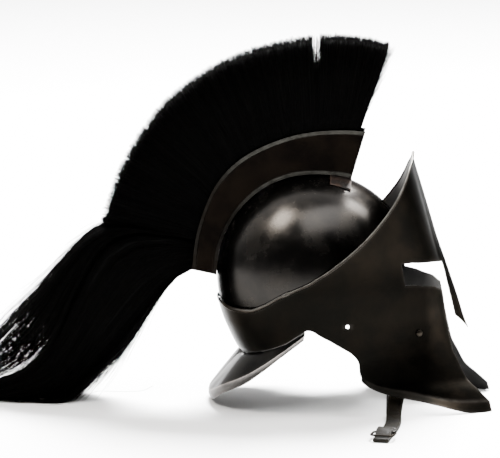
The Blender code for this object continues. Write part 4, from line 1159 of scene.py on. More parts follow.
def makeSaddle():
    # Underside over the dome by the lift, top at the strip's thickness or, in the block, below the box
    strip = np.linspace(saddle["blockFrom"], saddle["halfLength"], saddle["stripColumns"])
    beside = np.concatenate([np.linspace(*saddle["blockSide"], saddle["sideColumns"]), strip])
    block = np.linspace(-saddle["blockTo"], saddle["blockTo"], saddle["topColumns"])
    across = np.concatenate([-beside[::-1], block, beside])
    x = np.linspace(saddle["rear"], saddle["front"], saddle["rings"])[:, None] + 0 * across
    y = across + 0 * x
    floor = domeHeight(x, y) + saddle["lift"]
    first, second = boxLine("inner", np.array([0.0, saddle["slopeShare"]]))
    slope = (second[2] - first[2]) / (second[0] - first[0])
    top = first[2] + slope * (x - first[0]) - saddle["under"]
    rise = smoothStep(saddle["blockFrom"], saddle["blockTo"], np.abs(y))
    upper = (floor + saddle["strip"]) * (1 - rise) + top * rise
    high = np.stack([x, y, upper], axis=-1)[:, ::-1]
    points, faces = loftStrips(np.concatenate([np.stack([x, y, floor], axis=-1), high], axis=1))
    ends = [nearLine(points, high[row], saddle["wearReach"]) for row in (0, -1)]
    worn = saddle["wear"] * ends[0] + saddle["wear"] * ends[1]
    piece = addMesh("crestSaddle", points, faces, finishes["saddle"], values={"edge": np.clip(worn, 0, 1)})
    roundedEdges(piece, width=0.4, angle=45.0)
    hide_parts("crest_saddle")


makeSaddle()
print("saddle made")

# The two strap halves: heights of the stretch on the cheek, middle lines below the rivets, then hook and fold
# at the buckle, given along the strap, across it and up. The section is flat, with rounded edges (how far
# in, share of the thickness) and a shallow dip under each seam, which is a line of stitches.
strap = {
    "width": 18.0,
    "thickness": 1.9,
    "steps": 300,
    "onCheek": (103.0, 94.0, 84.0),
    "near": [(109.0, -60.5, 62.0), (100.0, -66.0, 43.0), (94.0, -74.5, 24.0), (91.0, -88.0, 9.5),
             (90.0, -104.0, 4.0), (90.0, -124.0, 3.4), (88.5, -146.0, 3.4), (86.0, -166.0, 3.6),
             (83.0, -184.0, 4.6)],
    "nearHook": [(-6.0, 0.0, 6.9), (-1.6, 0.0, 8.7), (1.2, 0.0, 8.4), (2.5, 0.0, 6.2), (1.3, 0.0, 3.9),
                 (-1.4, 0.0, 3.6)],
    "nearPoints": 24,
    "far": [(109.0, 58.5, 60.0), (100.0, 57.0, 38.0), (94.0, 51.0, 17.0), (91.0, 36.0, 3.6),
            (90.0, 14.0, 1.0), (90.0, -30.0, 1.0), (90.0, -80.0, 1.0), (90.0, -124.0, 1.0),
            (88.5, -146.0, 1.0), (86.0, -166.0, 1.0), (83.0, -184.0, 1.0), (79.6, -202.0, 1.0)],
    "farFold": [(14.0, 0.0, 1.0), (23.0, 0.0, 1.0), (26.4, 0.0, 1.4), (27.9, 0.0, 2.8), (26.4, 0.0, 4.2),
                (22.5, 0.0, 4.3), (18.0, 0.0, 4.4), (12.0, 0.0, 7.4), (5.0, 0.0, 10.7), (-2.0, 0.0, 11.2),
                (-10.0, 0.0, 8.9), (-19.0, 0.0, 7.0)],
    "farPoints": 28,
    "buckleAt": (80.3, -198.0),
    "buckleTurn": 0.185,
    "turnFrom": -120.0,
    "turnOver": 78.0,
    "levelBelow": 30.0,
    "levelOver": 60.0,
    "rivetAngle": 141.0,
    "rivetHeight": 94.0,
    "underPlate": 1.2,
    "edges": [(0.8, 1.0), (0.36, 0.84), (0.0, 0.4)],
    "flatHalf": 3.0,
    "dip": 0.84,
    "dipHalf": 0.6,
    "wornEdge": 1.6,
    "seamAt": 7.0,
    "seamFrom": 6.0,
    "seamTo": 4.0,
    "stitchEvery": 3.4,
    "stitchLength": 2.4,
    "stitchRadius": 0.42,
    "stitchSink": 0.12,
    "stitchCorners": 6,
    "stitchShape": [(-1.0, 0.35), (-0.8, 1.0), (0.8, 1.0), (1.0, 0.35)],
}


def pathLength(path):
    return np.concatenate([[0.0], np.cumsum(np.linalg.norm(np.diff(path, axis=0), axis=1))])


def resampled(path, count):
    # Even steps along a smooth curve through the path's points
    path = np.asarray(path, float)
    lengths = pathLength(path)
    spots = np.linspace(0, lengths[-1], count)
    return np.stack([smoothCurve(lengths, path[:, axis], spots) for axis in range(3)], axis=-1)


def rivetPlace(side, depth, height):
    # Point at the rivet's angle and a height, a depth inside the outer face, and the outward direction
    angle = shellAngles(np.array([strap["rivetAngle"]]), np.array([strap["rivetHeight"]]))
    away = shellOutward(angle, np.array([height]))[0]
    spot = shellPoint(angle, np.array([height]))[0] - away * depth
    flip = np.array([1.0, side, 1.0])
    return spot * flip, away * flip


def strapDepth():
    return shell["wall"] + strap["underPlate"] + 0.5 * strap["thickness"]


def buckleFrame(points):
    # Points given along the strap, across it and up, placed at the buckle
    points = np.asarray(points, float)
    turn = strap["buckleTurn"]
    run = np.array([-math.sin(turn), -math.cos(turn), 0.0])
    side = np.array([math.cos(turn), -math.sin(turn), 0.0])
    start = np.array([*strap["buckleAt"], 0.0])
    return start + points[:, :1] * run + points[:, 1:2] * side + points[:, 2:] * upward


def strapFrames(path, side):
    # Sideways direction: along the cheek at the rivet, along X below it and turned at the buckle
    away = rivetPlace(side, 0.0, strap["rivetHeight"])[1]
    level = np.array([abs(away[1]), side * -abs(away[0]), 0.0])
    share = np.clip((path[:, 2] - strap["levelBelow"]) / strap["levelOver"], 0, 1)[:, None]
    turn = np.clip((strap["turnFrom"] - path[:, 1]) / strap["turnOver"], 0, 1) * strap["buckleTurn"]
    lying = np.stack([np.cos(turn), -np.sin(turn), 0 * turn], axis=-1)
    across = unitRows(share * level + (1 - share) * lying)
    along = unitRows(np.gradient(path, axis=0))
    across = unitRows(across - along * np.sum(across * along, axis=1, keepdims=True))
    return along, across, np.cross(across, along)


def stitches(path, along, across, up):
    # One small capsule turned to every place along both seams, on both faces of the strap
    lengths = pathLength(path)
    places = np.arange(strap["seamFrom"], lengths[-1] - strap["seamTo"], strap["stitchEvery"])
    nearest = np.searchsorted(lengths, places)
    spots = np.repeat(nearest, 4)
    wide, face = np.meshgrid([-strap["seamAt"], strap["seamAt"]], [-1.0, 1.0])
    wide = np.tile(wide.ravel(), len(nearest))[:, None]
    face = np.tile(face.ravel(), len(nearest))[:, None]
    high = face * (0.5 * strap["thickness"] - strap["stitchSink"])
    middle = path[spots] + across[spots] * wide + up[spots] * high
    shares, widths = np.array(strap["stitchShape"]).T
    stations = shares * 0.5 * strap["stitchLength"]
    radii = widths * strap["stitchRadius"]
    corners = strap["stitchCorners"]
    ring = spokes(across[spots], up[spots], corners)
    points = middle[:, None, None] + along[spots][:, None, None] * stations[:, None, None]
    points = (points + ring[:, None] * radii[:, None, None]).reshape(-1, 3)
    index = np.arange(len(points)).reshape(len(spots), len(radii), corners)
    after = np.roll(index, -1, axis=2)
    quads = np.stack([index[:, :-1], after[:, :-1], after[:, 1:], index[:, 1:]], axis=-1).reshape(-1, 4)
    ends = np.concatenate([index[:, 0, ::-1], index[:, -1]])
    return points, outwards(points, [quads, ends])


def makeStrap(name, path, side, node):
    # The flat section carried along the path, and its stitches as a piece of their own
    path = resampled(path, strap["steps"])
    along, across, up = strapFrames(path, side)
    half, seam, dip = 0.5 * strap["width"], strap["seamAt"], strap["dipHalf"]
    insets, shares = zip(*strap["edges"])
    wide = [strap["flatHalf"], seam - dip, seam, seam + dip, *(half - np.array(insets))]
    thick = [1.0, 1.0, strap["dip"], 1.0, *shares]
    wide = np.concatenate([-np.array(wide[::-1]), wide])
    thick = np.array(thick[::-1] + thick) * 0.5 * strap["thickness"]
    wide, thick = np.concatenate([wide, wide[::-1]]), np.concatenate([-thick, thick[::-1]])
    rings = path[:, None] + across[:, None] * wide[None, :, None] + up[:, None] * thick[None, :, None]
    points, faces = loftStrips(rings)
    edge = np.tile(smoothStep(half - strap["wornEdge"], half, np.abs(wide)), len(path))
    piece = addMesh(name, points, faces, finishes["leather"], values={"edge": edge})
    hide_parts(node)
    thread = addMesh(name + "Seams", *stitches(path, along, across, up), finishes["thread"])


def strapPath(side, table, count):
    # The stretch on the cheek and the middle line below it, as even steps
    onCheek = np.array([rivetPlace(side, strapDepth(), height)[0] for height in strap["onCheek"]])
    return resampled(np.concatenate([onCheek, table]), count)


def makeStraps():
    near = strapPath(-1, strap["near"], strap["nearPoints"])
    far = strapPath(1, strap["far"], strap["farPoints"])
    makeStrap("nearStrap", np.concatenate([near[:-1], buckleFrame(strap["nearHook"])]), -1, "chin_strap_near")
    makeStrap("farStrap", np.concatenate([far, buckleFrame(strap["farFold"])]), 1, "chin_strap_far")


makeStraps()
print("straps made")

# The loop buckle, whose bars are given along the strap and up, and the two strap rivets, whose back is given
# inwards from the strap's inner face and from the inner head's radius
fittings = {
    "wire": 1.3,
    "wireCorners": 14,
    "wireSteps": 96,
    "bars": [(0.0, 6.2), (21.5, 7.1)],
    "overlap": 4.2,
    "cornerCut": 2.0,
    "cornerEase": 0.1,
    "softening": 5,
    "headRadius": 4.2,
    "headHeight": 1.7,
    "headFoot": 1.0,
    "headArc": (1.45, 0.0),
    "headSteps": 7,
    "headUnder": (0.1, 0.2),
    "headPoint": 0.02,
    "shank": 1.7,
    "innerHead": 3.8,
    "innerRims": [(0.6, 0.0), (1.2, 0.1), (1.7, 0.7)],
    "rivetCorners": 28,
    "buckleWear": 0.3,
    "rivetWear": 0.05,
}


def makeBuckle():
    # Loop with rounded corners: even steps round eight corners, each then averaged with its neighbours
    half = 0.5 * strap["width"] + fittings["overlap"]
    cut, ease = fittings["cornerCut"], fittings["cornerEase"]
    (start, low), (end, high) = fittings["bars"]
    oneSide = [(start, cut - half, low), (start + cut, -half, low + ease),
               (end - cut, -half, high - ease), (end, cut - half, high)]
    otherSide = [(run, -side, rise) for run, side, rise in reversed(oneSide)]
    closed = buckleFrame(oneSide + otherSide + oneSide[:1])
    lengths = pathLength(closed)
    spots = np.linspace(0, lengths[-1], fittings["wireSteps"] + 1)[:-1]
    path = np.stack([np.interp(spots, lengths, closed[:, axis]) for axis in range(3)], axis=-1)
    for _ in range(fittings["softening"]):
        path = 0.25 * (np.roll(path, 1, axis=0) + 2 * path + np.roll(path, -1, axis=0))
    along = unitRows(np.roll(path, -1, axis=0) - np.roll(path, 1, axis=0))
    side = unitRows(np.cross(along, upward))
    corners = fittings["wireCorners"]
    rings = path[:, None] + fittings["wire"] * spokes(side, np.cross(side, along), corners)
    points = rings.reshape(-1, 3)
    quads = gridQuads(len(path), corners, roundColumns=True, roundRows=True)
    piece = addMesh("strapBuckle", points, outwards(points, [quads]), finishes["fitting"],
                    values={"edge": np.full(len(points), fittings["buckleWear"])})
    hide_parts("strap_buckle")


def makeRivet(name, side, node):
    # Profile of outward places and radii turned round the outward direction: domed head, shank and flat
    # inner head, closed by a point at each end
    spot, away = rivetPlace(side, 0.0, strap["rivetHeight"])
    back = -(strapDepth() + 0.5 * strap["thickness"])
    foot, radius, shank = fittings["headFoot"], fittings["headRadius"], fittings["shank"]
    arc = np.linspace(*fittings["headArc"], fittings["headSteps"])
    profile = [(foot + fittings["headHeight"] * math.sin(turn), radius * math.cos(turn)) for turn in arc]
    (below, inset), rims = fittings["headUnder"], fittings["innerRims"]
    profile += [(foot - below, radius - inset), (foot - below, shank), (back - rims[0][0], shank)]
    profile += [(back - deep, fittings["innerHead"] - less) for deep, less in rims]
    profile = np.array(profile)
    across = unitRows(np.cross(away, upward))
    corners = fittings["rivetCorners"]
    rings = spot + away * profile[:, :1, None] + spokes(across, upward, corners) * profile[:, 1:, None]
    tips = [spot + away * (profile[0, 0] + fittings["headPoint"]), spot + away * profile[-1, 0]]
    points = np.concatenate([rings.reshape(-1, 3), tips])
    quads = gridQuads(len(profile), corners, roundColumns=True)
    faces = outwards(points, [quads, pointCaps(len(profile), corners)])
    piece = addMesh(name, points, faces, finishes["face"],
                    values={"edge": np.full(len(points), fittings["rivetWear"])})
    roundedEdges(piece, width=0.2, angle=50.0)
    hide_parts(node)


makeBuckle()
makeRivet("nearRivet", -1, "strap_rivet_near")
makeRivet("farRivet", 1, "strap_rivet_far")
print("buckle and rivets made")

# The stiff fan of cut hair: outer edge and half width from front to rear, its slit, the dark core, how its
# strands are cut, and the bundles of strands. A stray or a lean is in millimetres at the tip.
hairFan = {
    "boxFrom": 0.028,
    "boxTo": 0.89,
    "along": [0.0, 0.1, 0.2, 0.3, 0.4, 0.5, 0.6, 0.7, 0.8, 0.9, 1.0],
    "tipX": [78.0, 44.0, 8.0, -32.0, -72.0, -112.0, -150.0, -186.0, -216.0, -244.0, -262.0],
    "tipZ": [433.0, 440.5, 442.0, 437.5, 428.5, 414.0, 392.0, 363.0, 325.0, 276.0, 221.0],
    "halfWidth": [17.0, 20.0, 22.0, 23.0, 23.0, 23.0, 23.0, 23.0, 22.0, 20.0, 17.0],
    "inBox": 13.75,
    "rootShare": 0.14,
    "mouthShare": 1.02,
    "wideFrom": 0.93,
    "locks": 30,
    "lockDepth": 0.06,
    "lockRise": 3,
    "slitAt": 0.2333,
    "slitHalf": 0.0125,
    "slitDepth": 0.29,
    "core": {"length": 0.945, "width": 0.93, "steps": 300, "inset": 0.004, "belowSlit": 0.02,
             "levels": [-1.0, -0.4, 0.0, 0.2, 0.4, 0.6, 0.8, 0.93, 1.0],
             "widths": [1, 1, 1, 1, 1, 1, 1, 0.97, 0.75]},
    "cut": {"ragged": 0.03, "raggedPower": 1.5, "rearRagged": 0.7, "rise": 0.012, "sideDrop": 0.035,
            "spikeShare": 0.05, "spike": 0.022, "tufts": 260, "tuftRagged": 0.007,
            "slitSpread": (-0.03, 0.02), "slitHairs": 0.07},
    "foot": -0.25,
    "sides": {"strands": 5000, "steps": 4, "stray": 0.7, "thickness": 1.0, "lean": 1.2, "inward": 0.06},
    "ends": {"strands": 1500, "steps": 4, "stray": 0.8, "thickness": 1.0, "frontShare": 0.3,
             "frontLean": 1.6, "rearLean": -3.4, "rearShort": 0.07},
    "top": {"strands": 6900, "steps": 3, "stray": 0.5, "thickness": 1.0, "lean": 1.0, "from": 0.8,
            "lowFrom": 0.55, "lowBelow": 0.85, "spread": 0.03},
    "wisps": {"strands": 640, "steps": 5, "stray": 2.2, "thickness": 0.8, "frontShare": 0.42,
              "front": (0, 0.003), "rear": (0.93, 1.0), "across": 0.9, "frontFrom": 0.85, "fromPower": 0.7,
              "rearFrom": (0.3, 0.85), "frontTop": 0.99, "frontLength": (0.2, 1.0), "rearLength": (0.3, 1.0),
              "lean": (1.5, 13.0), "leanShare": (0.4, 0.6)},
    "crossing": {"strands": 160, "steps": 5, "stray": 1.0, "thickness": 0.6, "lean": 4.0,
                 "from": (0.6, 0.7), "to": (0.74, 1.01)},
    "cycles": 0.7,
    "leanPower": 1.2,
    "taper": 0.55,
    "radius": 0.27,
}

# What the strands of fan and tail share: the sine waves of their chance offsets, their room above the
# table, how their thickness varies, and the look of the dark cores
strands = {
    "waves": (1, 2, 3),
    "waveSize": 0.6,
    "waveFade": 1.5,
    "corners": 3,
    "clearance": 0.05,
    "thickness": (0.8, 1.2),
    "tonePower": 2,
    "core": {"tone": 0.2, "along": 0.3},
}


def fanLines(u):
    # Root, box mouth and tip in the middle plane and the half width, at share u from front to rear
    spot = hairFan["boxFrom"] + (hairFan["boxTo"] - hairFan["boxFrom"]) * u
    inner, outer = boxLine("inner", spot), boxLine("outer", spot)
    root = inner + (outer - inner) * hairFan["rootShare"]
    mouth = inner + (outer - inner) * hairFan["mouthShare"]
    x, z, spread = readCurves(hairFan, "along", ("tipX", "tipZ", "halfWidth"), u)
    return root, mouth, np.stack([x, 0 * x, z], axis=-1), spread


def fanPoints(u, v, t):
    # Place at u along the fan, v across it (-1 to 1) and t from the root (-1) over the mouth (0) to the tip
    # (1), and the way towards the fan's front
    root, mouth, tip, spread = fanLines(u)
    rise = (tip - mouth)[:, None]
    points = mouth[:, None] + np.where(t[..., None] > 0, rise, (mouth - root)[:, None]) * t[..., None]
    wide = np.clip(t / hairFan["wideFrom"], 0, 1)
    width = hairFan["inBox"] + (spread[:, None] - hairFan["inBox"]) * wide
    wave = 1 + np.cos(2 * math.pi * hairFan["locks"] * u)[:, None]
    lock = 1 - hairFan["lockDepth"] * 0.5 * wave * np.clip(t * hairFan["lockRise"], 0, 1)
    points[..., 1] += v * width * lock
    return points, unitRows(np.cross(sideways, rise))


def inSlit(u):
    return np.abs(u - hairFan["slitAt"]) < hairFan["slitHalf"]


def coreValues(points):
    return {name: np.full(len(points), value) for name, value in strands["core"].items()}


def makeBrushCore():
    # Dark inside of the fan: the same form, a little shorter and narrower, with the slit cut into it
    core = hairFan["core"]
    u = np.linspace(core["inset"], 1 - core["inset"], core["steps"])
    reach = np.where(inSlit(u), 1 - hairFan["slitDepth"] - core["belowSlit"], core["length"])
    levels = np.array(core["levels"])
    t = np.where(levels > 0, levels * reach[:, None], levels + 0 * reach[:, None])
    v = core["width"] * np.array(core["widths"]) * np.ones((len(u), 1))
    right = fanPoints(u, v, t)[0]
    left = fanPoints(u, -v, t)[0][:, ::-1]
    points, faces = loftStrips(np.concatenate([right, left], axis=1))
    piece = addMesh("brushCore", points, faces, finishes["brush"], values=coreValues(points))
    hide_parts("plume_brush")


def wander(places, cycles, lock):
    # Smooth chance offset that the strands of a lock share: sine waves on each axis, weaker as they quicken
    total = 0.0
    for wave in strands["waves"]:
        spread = strands["waveSize"] / wave ** strands["waveFade"]
        phase = chance.uniform(0, 2 * math.pi, (lock.max() + 1, 1, 3))[lock]
        size = chance.normal(0, spread, (lock.max() + 1, 1, 3))[lock]
        total = total + size * np.sin(2 * math.pi * wave * cycles * places[..., None] + phase)
    return total


def strandBodies(paths, radii):
    # Closed threads round rows of path points, each turned to a chance direction
    count, steps = paths.shape[:2]
    corners = strands["corners"]
    along = unitRows(np.gradient(paths, axis=1))
    side = unitRows(np.cross(along, chance.normal(size=(count, 1, 3))))
    ring = spokes(side, np.cross(side, along), corners)
    points = paths[:, :, None] + radii[..., None, None] * ring
    index = np.arange(count * steps * corners).reshape(count, steps, corners)
    after = np.roll(index, -1, axis=2)
    quads = np.stack([index[:, :-1], index[:, 1:], after[:, 1:], after[:, :-1]], axis=-1).reshape(-1, 4)
    return points.reshape(-1, 3), quads, np.concatenate([index[:, 0], index[:, -1, ::-1]])


def addStrands(name, bundles, finish, node):
    # Joins bundles, each of paths, radii and tones, into one piece that stays above the table
    points, quads, ends, tones, along = [], [], [], [], []
    start = 0
    for paths, radii, bundleTones in bundles:
        count, steps = paths.shape[:2]
        paths[..., 2] = np.maximum(paths[..., 2], radii + strands["clearance"])
        body, bodyQuads, bodyEnds = strandBodies(paths, radii)
        body[:, 2] = np.maximum(body[:, 2], 0.0)
        points.append(body)
        quads.append(bodyQuads + start)
        ends.append(bodyEnds + start)
        tones.append(np.repeat(bundleTones, steps * strands["corners"]))
        along.append(np.tile(np.repeat(np.linspace(0, 1, steps), strands["corners"]), count))
        start += len(body)
    faces = [np.concatenate(quads), np.concatenate(ends)]
    piece = addMesh(name, np.concatenate(points), faces, finishes[finish],
                    values={"tone": np.concatenate(tones), "along": np.concatenate(along)})
    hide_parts(node)
    print(name, "triangles:", 2 * len(faces[0]) + len(faces[1]))


def strandLooks(part, radius, taper, count):
    # Radii that shrink by taper along the strand and vary by chance, and each strand's chance tone
    radii = radius * (1 - taper * part)[None] * chance.uniform(*strands["thickness"], (count, 1))
    return radii, chance.uniform(0, 1, count) ** strands["tonePower"]


def brushBundle(kind, u, v, start, end, lean):
    # Strands at u and v from share start to share end, leaning towards the fan's front by lean at the tip
    settings = hairFan[kind]
    part = np.linspace(0, 1, settings["steps"])
    t = start[:, None] + (end - start)[:, None] * part
    paths, ahead = fanPoints(u, v[:, None] * np.ones((1, len(part))), t)
    stray = wander(t, hairFan["cycles"], np.arange(len(u))) * settings["stray"] * np.clip(t, 0, 1)[..., None]
    paths = paths + stray + ahead * (lean[:, None] * part ** hairFan["leanPower"])[..., None]
    radius = hairFan["radius"] * settings["thickness"]
    return paths, *strandLooks(part, radius, hairFan["taper"], len(u))


def cutLength(u, v):
    # Tip of each strand as a share of the fan's height: ragged, a little lower at the sides, with a few
    # spikes, varied by tufts, and cut down in the slit
    cut = hairFan["cut"]
    ragged = chance.uniform(0, 1, len(u)) ** cut["raggedPower"] * cut["ragged"] * (1 + cut["rearRagged"] * u)
    reach = 1 - ragged + cut["rise"] - cut["sideDrop"] * np.abs(v) ** 4
    spikes = chance.uniform(0, 1, len(u)) < cut["spikeShare"]
    reach = reach + np.where(spikes, chance.uniform(0.0, cut["spike"], len(u)), 0.0)
    tufts = chance.normal(0, cut["tuftRagged"], cut["tufts"] + 1)
    reach = reach + tufts[(u * cut["tufts"]).astype(int)]
    low = 1 - hairFan["slitDepth"] + chance.uniform(*cut["slitSpread"], len(u))
    spared = chance.uniform(0, 1, len(u)) < cut["slitHairs"]
    return np.where(inSlit(u) & ~spared, low, reach)


def fanSides():
    settings = hairFan["sides"]
    count = settings["strands"]
    u = chance.uniform(0, 1, count)
    v = np.sign(chance.uniform(-1, 1, count)) * (1 - settings["inward"] * chance.uniform(0, 1, count) ** 2)
    foot = np.full(count, hairFan["foot"])
    return brushBundle("sides", u, v, foot, cutLength(u, v), chance.normal(0, settings["lean"], count))


def fanEnds():
    # The end faces, where each strand leans out
    settings = hairFan["ends"]
    count = settings["strands"]
    u = np.where(chance.uniform(0, 1, count) < settings["frontShare"], 0.0, 1.0)
    v = chance.uniform(-1, 1, count)
    lean = np.where(u < 0.5, settings["frontLean"], settings["rearLean"]) * np.abs(chance.normal(0, 1, count))
    reach = cutLength(u, v) - settings["rearShort"] * chance.uniform(0, 1, count) * u
    return brushBundle("ends", u, v, np.full(count, hairFan["foot"]), reach, lean)


def fanTop():
    # Short strands that end in the cut top and in the slit's floor
    settings = hairFan["top"]
    count = settings["strands"]
    u = chance.uniform(0, 1, count)
    v = chance.uniform(-1, 1, count)
    reach = cutLength(u, v)
    start = np.where(reach < settings["lowBelow"], settings["lowFrom"], settings["from"])
    start = start + chance.uniform(-settings["spread"], settings["spread"], count)
    return brushBundle("top", u, v, start, reach, chance.normal(0, settings["lean"], count))


def fanWisps():
    # Loose hairs that stand off the front and rear ends
    settings = hairFan["wisps"]
    count = settings["strands"]
    front = chance.uniform(0, 1, count) < settings["frontShare"]
    u = np.where(front, chance.uniform(*settings["front"], count), chance.uniform(*settings["rear"], count))
    v = chance.uniform(-settings["across"], settings["across"], count)
    frontStart = settings["frontFrom"] * chance.uniform(0, 1, count) ** settings["fromPower"]
    start = np.where(front, frontStart, chance.uniform(*settings["rearFrom"], count))
    frontLength = (settings["frontTop"] - start) * chance.uniform(*settings["frontLength"], count)
    rearLength = (1 - start) * chance.uniform(*settings["rearLength"], count)
    end = start + np.where(front, frontLength, rearLength)
    least, more = settings["leanShare"]
    lean = np.where(front, 1.0, -1.0) * chance.uniform(*settings["lean"], count) * (least + more * end)
    return brushBundle("wisps", u, v, start, end, lean)


def fanCrossing():
    # Hairs that cross the slit
    settings = hairFan["crossing"]
    count = settings["strands"]
    middle, half = hairFan["slitAt"], hairFan["slitHalf"]
    u = chance.uniform(middle - half, middle + half, count)
    v = chance.uniform(-1, 1, count)
    start = chance.uniform(*settings["from"], count)
    end = chance.uniform(*settings["to"], count)
    return brushBundle("crossing", u, v, start, end, chance.normal(0, settings["lean"], count))


makeBrushCore()
addStrands("brushSides", [fanSides(), fanEnds()], "brush", "plume_brush")
addStrands("brushTop", [fanTop(), fanWisps(), fanCrossing()], "brush", "plume_brush")
print("brush made")

# The loose tail: upper and lower edge in side view and half width. The dense inside sinks to the table
# towards the end, and sparse locks run on over it to the full height. Each bundle's from and to are limits
# for the shares of the tail where its strands start and end.
hairTail = {
    "along": [0.0, 0.07, 0.12, 0.18, 0.28, 0.39, 0.52, 0.64, 0.76, 0.86, 0.94, 1.0],
    "upperX": [-131.5, -152.0, -167.0, -187.0, -222.0, -257.0, -300.0, -334.0, -371.0, -407.0, -440.0,
               -462.0],
    "upperZ": [185.6, 197.0, 200.5, 204.2, 210.7, 211.0, 177.0, 137.0, 100.0, 60.0, 28.0, 9.0],
    "lowerX": [-130.5, -147.0, -158.5, -172.0, -190.0, -211.0, -240.0, -272.0, -312.0, -366.0, -420.0,
               -455.0],
    "lowerZ": [166.0, 167.0, 162.5, 149.0, 129.0, 100.0, 63.0, 31.0, -1.0, -5.0, -5.0, -3.0],
    "halfWidth": [13.8, 13.8, 15.0, 19.5, 25.0, 30.0, 34.0, 38.0, 40.0, 36.0, 26.0, 12.0],
    "denseAt": [0.0, 0.3, 0.4, 0.5, 0.6, 0.68, 0.76, 0.86, 0.95, 1.0],
    "dense": [1.0, 0.96, 0.88, 0.79, 0.67, 0.54, 0.44, 0.38, 0.38, 0.44],
    "locks": 11,
    "lockDepth": 0.17,
    "lockOver": 0.12,
    "roundness": 0.8,
    "liftOver": (0.35, 0.6),
    "pinchOver": (0.45, 0.8),
    "core": {"steps": 90, "corners": 88, "end": 0.985, "size": 0.955, "shrink": 0.5, "shrinkOver": (0.9, 1.0),
             "lift": 0.1, "pinch": 0.25},
    "body": {"strands": 4600, "locks": 90, "steps": 7, "from": (0.0, 0.06), "to": (0.7, 1.0), "size": 0.99,
             "inward": 0.09, "lift": 0.07, "pinch": 0.2, "thickness": 1.0},
    "free": {"strands": 2500, "locks": 170, "steps": 9, "from": (0.14, 0.36), "to": (0.72, 1.02),
             "heightPower": 0.9, "rise": 0.045, "top": 1.05, "across": 0.85, "spread": 0.08,
             "thickness": 0.75},
    "low": {"strands": 800, "locks": 46, "steps": 9, "from": (0.16, 0.42), "to": (0.5, 0.88), "level": -0.93,
            "lockHang": 0.06, "hang": 0.05, "hangPower": 1.4, "across": 0.75, "spread": 0.1, "narrow": 0.2,
            "thickness": 1.0},
    "edges": {"strands": 620, "locks": 60, "steps": 9, "from": (0.08, 0.35), "to": (0.45, 0.95),
              "upperShare": 0.6, "upper": (0.96, 0.12), "lower": (-0.97, -0.15), "power": 1.5, "across": 0.6,
              "thickness": 0.8},
    "table": {"strands": 260, "locks": 40, "steps": 9, "from": (0.5, 0.68), "to": (0.72, 0.98),
              "out": (0.55, 0.85), "drift": 0.12, "nearShare": 0.75, "most": 1.3, "thickness": 0.7},
    "floorHair": {"path": [(-300.0, -30.0, 0.4), (-281.7, 11.2, 0.4), (-268.8, 31.3, 0.4),
                           (-244.2, 29.6, 0.4), (-220.0, 33.4, 0.4), (-206.2, 62.3, 0.4)],
                  "steps": 24, "radius": 0.22, "tone": 0.9},
    "looseFrom": 0.04,
    "loosePower": 1.5,
    "lockCycles": 0.55,
    "lockStray": 3.4,
    "cycles": 0.8,
    "stray": 0.9,
    "taper": 0.6,
    "radius": 0.23,
}


def tailPoints(s, level, side):
    # Place at s along the tail, at level -1 to 1 from its lower to its upper edge and side -1 to 1 across it
    names = ("upperX", "upperZ", "lowerX", "lowerZ", "halfWidth")
    upperX, upperZ, lowerX, lowerZ, half = readCurves(hairTail, "along", names, s)
    up = 0.5 * (1 + level)
    return np.stack([lowerX + (upperX - lowerX) * up, side * half, lowerZ + (upperZ - lowerZ) * up], axis=-1)


def denseLevel(s, level, free=0.0):
    # Levels pressed down where only the lower share of the tail is dense; free strands keep theirs
    share = smoothCurve(hairTail["denseAt"], hairTail["dense"], s)
    return (level + 1) * (share + (1 - share) * free) - 1


def tailRibs(s, turn):
    # 1 on each lock's rib, less by the lock's depth between two
    grow = 0.5 * hairTail["lockDepth"] * np.minimum(1, s / hairTail["lockOver"])
    return 1 - grow * (1 - np.cos(hairTail["locks"] * (turn - 0.5 * math.pi)))


def tailSection(s, turn, size, settings):
    # Level and side of a section, flattened below by lift and narrowed by pinch towards the end
    below = np.clip(-np.sin(turn), 0, 1)
    level = np.sin(turn) * size + settings["lift"] * smoothStep(*hairTail["liftOver"], s) * below
    side = np.abs(np.cos(turn)) ** hairTail["roundness"] * np.sign(np.cos(turn)) * size
    return denseLevel(s, level), side * (1 - settings["pinch"] * smoothStep(*hairTail["pinchOver"], s))


def makeTailCore():
    # Dark inside: round sections with one rib for each lock, which end in a point near the table
    core = hairTail["core"]
    s = np.linspace(0.0, core["end"], core["steps"])[:, None]
    turns = evenTurns(core["corners"]) + 0.5 * math.pi
    size = core["size"] * tailRibs(s, turns) * (1 - core["shrink"] * smoothStep(*core["shrinkOver"], s))
    level, side = tailSection(s, turns, size, core)
    rings = tailPoints(s + 0 * level, level, side)
    rings[..., 2] = np.maximum(rings[..., 2], 0.0)
    points = np.concatenate([rings.reshape(-1, 3), [rings[0].mean(axis=0), rings[-1].mean(axis=0)]])
    quads = gridQuads(*level.shape, roundColumns=True)
    faces = outwards(points, [quads, pointCaps(*level.shape)])
    piece = addMesh("tailCore", points, faces, finishes["tail"], values=coreValues(points))
    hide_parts("plume_tail")


def tailBundle(kind, s, level, side, lock):
    # Strands along rows of s that wander with their lock, and a little alone, more towards the far end
    paths = tailPoints(s, level, side)
    grow = (hairTail["looseFrom"] + np.clip(s, 0, 1) ** hairTail["loosePower"])[..., None]
    paths = paths + wander(s, hairTail["lockCycles"], lock) * grow * hairTail["lockStray"]
    paths = paths + wander(s, hairTail["cycles"], np.arange(len(s))) * grow * hairTail["stray"]
    part = np.linspace(0, 1, s.shape[1])
    radius = hairTail["radius"] * hairTail[kind]["thickness"]
    return paths, *strandLooks(part**2, radius, hairTail["taper"], len(s))


def strandRuns(kind):
    # Rows of shares along the tail, one for each strand of a bundle
    settings = hairTail[kind]
    count = settings["strands"]
    first, last = chance.uniform(*settings["from"], count), chance.uniform(*settings["to"], count)
    return first[:, None] + (last - first)[:, None] * np.linspace(0, 1, settings["steps"])


